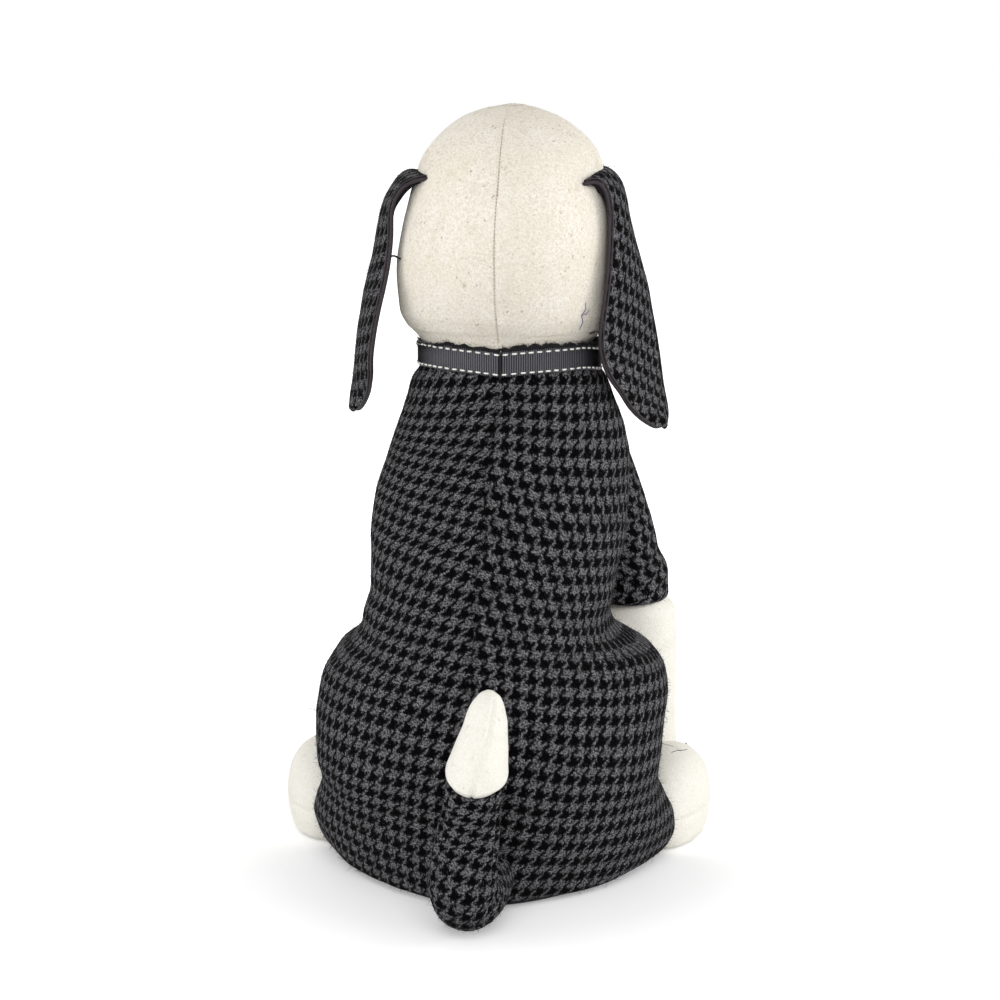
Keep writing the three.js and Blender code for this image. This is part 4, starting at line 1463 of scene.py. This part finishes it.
tail = {
    # share, x, y, z of the middle, radius
    "rows": [
        [0, 0.4, -44, 14.4, 12.4],
        [0.14, 0.1, -62, 13.6, 12.6],
        [0.26, -0.3, -77, 13.4, 12.8],
        [0.36, -1.5, -88.8, 15.4, 12.4],
        [0.43, -1.9, -94.6, 21.6, 12.1],
        [0.5, -1.4, -96.6, 29.5, 11.7],
        [0.57, -0.1, -96.6, 38, 11.2],
        [0.64, 1, -95.8, 46.5, 10.7],
        [0.7, 1.7, -94.6, 54, 10.2],
        [0.77, 2.9, -93, 62.3, 10.7],
        [0.83, 4.2, -91, 69.5, 9.8],
        [0.89, 5.4, -89, 76.4, 8.3],
        [0.935, 6, -87.6, 81.8, 7],
        [0.97, 6.6, -86.2, 86.2, 5],
        [0.99, 6.8, -85.5, 88.6, 2.9],
        [1, 6.9, -85.2, 89.6, 0.8],
    ],
    "tipFrom": 0.742,
    "tipTilt": 0.044,  # the seam of the tip dips at the back by this share
    "around": 96,
    "swells": [(0.5, 17, 51), (0.2, 6, 52)],
    "tipSwells": [(0.35, 15, 54), (0.1, 5, 55)],
    "sleeveEndTuck": 1.6,
    "tipTuck": 1.2,
    "tipSeamDepth": 0.8,
    "radius": 11,  # about that of the sleeve, for distances round it
    "clothScale": np.array([1.12, 1.3]),
    "seamAngles": (math.pi - 0.95, math.pi + 1.15),
}


def tailGrid(start, end, rowCount):
    table = smoothTable(tail["rows"], True)
    fine = np.linspace(0, 1, 400)
    middle = table(fine)
    ahead = unitOf(np.gradient(middle[:, :3], axis=0))
    across = unitOf(np.array([1.0, 0, 0]) - ahead * ahead[:, :1])
    up = np.cross(ahead, across)
    angles = around(tail["around"]) + math.pi / 2
    share = np.linspace(start, end, rowCount)
    near = hump(share - tail["tipFrom"], 0.13)[:, None]
    place = share[:, None] + tail["tipTilt"] * near * np.sin(angles)[None, :]

    def at(values):
        return np.stack([np.interp(place, fine, values[:, k]) for k in range(3)], -1)

    radius = np.maximum(np.interp(place, fine, middle[:, 3]), 0.5)[..., None]
    ring = np.cos(angles)[None, :, None] * at(across) + np.sin(angles)[None, :, None] * at(up)
    return at(middle[:, :3]) + radius * ring, share


def makeTail():
    sleevePart, share = tailGrid(0, tail["tipFrom"] - 0.001, 110)
    normal = gridNormals(sleevePart, True)
    inside = hump(share - 0.40, 0.09)[:, None]
    push = uneven(sleevePart, tail["swells"])
    push += 0.35 * inside * np.sin(share[:, None] * 260 + 2 * softNoise(sleevePart, 12, 53))
    push -= tail["sleeveEndTuck"] * hump(share - tail["tipFrom"], 0.007)[:, None]
    column = around(tail["around"])[None, :]
    for seamAngle in tail["seamAngles"]:
        apart = np.abs(column - seamAngle) * tail["radius"]
        ridge = 0.5 * hump(apart - 1.6, 0.9) - 0.7 * hump(apart, 0.8)
        push += ridge * ease(share, 0.4, 0.5)[:, None]
    grid = sleevePart + normal * push[..., None]
    grid[..., 2] = np.maximum(grid[..., 2], 0.3)
    woolSurfaces.append(grid)
    form = closedForm("tailSleeve", grid, ringUv(grid, math.radians(14)) * tail["clothScale"])
    finishPiece(form, houndstoothCloth, ("tail_sleeve", "tail_stuffing"))
    tip, share = tailGrid(tail["tipFrom"], 1, 90)
    normal = gridNormals(tip, True)
    angle = around(tail["around"])
    seamAngle = (math.pi + 0.02 + 0.5 * (share - 0.74) / 0.26)[:, None]
    distance = np.abs(angle[None, :] - seamAngle) * 10
    foot = hump(share - tail["tipFrom"], 0.03)[:, None]
    push = uneven(tip, tail["tipSwells"])
    push -= tail["tipSeamDepth"] * hump(distance, 0.75) * (1 - ease(share, 0.97, 1))[:, None]
    push -= 1.3 * hump(distance, 0.6) * foot
    push -= tail["tipTuck"] * hump(share - tail["tipFrom"], 0.006)[:, None]
    push += 0.35 * hump(share - tail["tipFrom"] - 0.03, 0.02)[:, None]
    tip = tip + normal * push[..., None]
    form = closedForm("tailTip", tip, ringUv(tip))
    finishPiece(form, whiterFeltWithPaintedLight, ("tail_tip",))


makeTail()
print("tail made")


# Loose threads, the tacks that hold the ears, a stray thread on the back of the head, and standing wool
# fibres

loose = {
    "tackRadius": 0.42,
    "strayRadius": 0.16,
    "endRadius": 0.13,
    # side, height of the tack, and its reach from the ear's edge in towards the head
    "tacks": [("right", 204, (-4, -1.5, 0.6)), ("left", 231, (4.4, 1.5, -0.4))],
    # x, z and distance off the back of the head
    "stray": [
        ((30.4, 204.6, 0.3), (31.8, 207.6, 0.7), (31.4, 210.4, 0.5), (33, 212.6, 0.8), (32.8, 215.4, 0.4)),
        ((31.4, 210.4, 0.5), (33.2, 210.8, 0.8), (34.2, 212.4, 0.4)),
    ],
    # start, first direction, length, seed and bend
    "ends": [
        ((66, 34, 36.4), (0.9, -0.1, 0.3), 8, 3, 0.5),
        ((-67, 34, 36.6), (-0.8, -0.2, 0.3), 7, 5, 0.5),
        ((4.4, -97.6, 8.6), (0.7, -0.3, 0.1), 7, 9, 1.1),
        ((-66.2, -8, 60), (-0.9, -0.2, 0.4), 5, 12, 0.5),
    ],
}
fibres = {"count": 12000, "length": 1.1, "radius": 0.06, "seed": 5}


def looseThread(start, way, length, seed, bend):
    # a curved end of thread
    steps = 9
    way = unitOf(np.array(way, float))
    points = [np.array(start, float)]
    for k in range(steps):
        turn = [softNoise(np.array([seed * 3.7, k * 0.9, j * 5.1]), 1.7, seed) for j in range(3)]
        way = unitOf(way + bend * np.array(turn) * 0.5)
        points.append(points[-1] + way * length / steps)
    return points


def makeLooseThreads():
    tacks = []
    for side, z, reach in loose["tacks"]:
        edge = earFace(side)[:, 0 if side == "right" else -1]
        start = edge[int(np.argmin(np.abs(edge[:, 2] - z)))]
        shares = np.linspace(-0.15, 1, 8)
        tacks.append([start + np.array(reach) * k + np.array([0, 0, 0.5 * math.sin(5 * k)]) for k in shares])
    finishPiece(threads("earTacks", tacks, loose["tackRadius"], 6), plain["darkThread"])
    stray = [[onHead(x, z, False) + np.array([0, -off, 0]) for x, z, off in way] for way in loose["stray"]]
    finishPiece(threads("strayThread", stray, loose["strayRadius"], 6), plain["purpleThread"])
    ends = [looseThread(*values) for values in loose["ends"]]
    finishPiece(threads("looseEnds", ends, loose["endRadius"], 5), plain["darkThread"])


makeLooseThreads()
finishPiece(standingFibres("woolFibres", woolSurfaces, **fibres), plain["woolFibre"], ())
print("fibres made")


# Floor, light and camera

stage = {
    "floorHalf": 4000,
    "key": {"place": (120, -1700, 1100), "size": 1100, "power": 23.5},
    "sideLeft": {"place": (-1400, 100, 60), "size": 700, "power": 11},
    "sideRight": {"place": (1400, 420, 200), "size": 700, "power": 14},
    "back": {"place": (-500, 1500, 1300), "size": 1600, "power": 5},
    "world": 0.43,
    "floorGreys": (0.88, 0.9),
    "floorLift": (0.08, 0.31, 0.26, 1.0),  # the floor turns white between these distances, in metres
    "camera": (107.4, -1094.9, 340),
    "aim": (2, 0, 142),
    "lens": 106.92,
}


def directlySeen(tree):
    # the camera and mirrored rays see white; the light on the dog stays plain
    path = node(tree, "ShaderNodeLightPath").outputs
    mirrored = maths(tree, "MAXIMUM", path["Is Glossy Ray"], path["Is Transmission Ray"])
    return maths(tree, "MAXIMUM", path["Is Camera Ray"], mirrored)


def aimed(name, data, place):
    holder = bpy.data.objects.new(name, data)
    bpy.context.scene.collection.objects.link(holder)
    holder.location = Vector(place) * toMetres
    toDog = Vector(stage["aim"]) * toMetres - holder.location
    holder.rotation_euler = toDog.to_track_quat("-Z", "Y").to_euler()
    return holder


def makeStage():
    half = stage["floorHalf"]
    corners = [[-half, -half, 0], [half, -half, 0], [half, half, 0], [-half, half, 0]]
    floor = meshPiece("floor", corners, [[0, 1, 2, 3]])
    material, tree, shader = newMaterial("paperFloor")
    place = node(tree, "ShaderNodeTexCoord").outputs["Object"]
    cloud, _ = noiseAt(tree, place, 6, 2)
    dark, light = [(value, value, value, 1) for value in stage["floorGreys"]]
    tree.links.new(mixColour(tree, cloud, dark, light), shader.inputs["Base Color"])
    setSockets(shader, Roughness=0.9, SpecularIORLevel=0.1)
    seen = directlySeen(tree)
    distance = node(tree, "ShaderNodeVectorMath", {0: place}, operation="LENGTH").outputs["Value"]
    lift = spread(tree, distance, *stage["floorLift"])
    strength = maths(tree, "MULTIPLY", seen, lift)
    glow = node(tree, "ShaderNodeEmission", {"Color": (1, 1, 1, 1), "Strength": strength})
    both = node(tree, "ShaderNodeAddShader", {0: shader.outputs[0], 1: glow.outputs[0]})
    tree.links.new(both.outputs[0], tree.nodes["Material Output"].inputs["Surface"])
    floor.data.materials.append(material)

    scene = bpy.context.scene
    world = bpy.data.worlds.new("studio")
    scene.world = world
    world.use_nodes = True
    tree = world.node_tree
    seen = directlySeen(tree)
    strength = maths(tree, "MULTIPLY_ADD", seen, 1 - stage["world"], stage["world"])
    background = tree.nodes["Background"]
    background.inputs["Color"].default_value = (1, 1, 1, 1)
    tree.links.new(strength, background.inputs["Strength"])

    for label in ("key", "sideLeft", "sideRight", "back"):
        light = stage[label]
        lamp = bpy.data.lights.new(label, "AREA")
        lamp.size = light["size"] * toMetres
        lamp.energy = light["power"]
        aimed(label, lamp, light["place"])

    lens = bpy.data.cameras.new("camera")
    lens.lens = stage["lens"]
    lens.sensor_width = 36
    scene.camera = aimed("camera", lens, stage["camera"])
    scene.view_settings.view_transform = "Standard"


makeStage()
print("stage made")
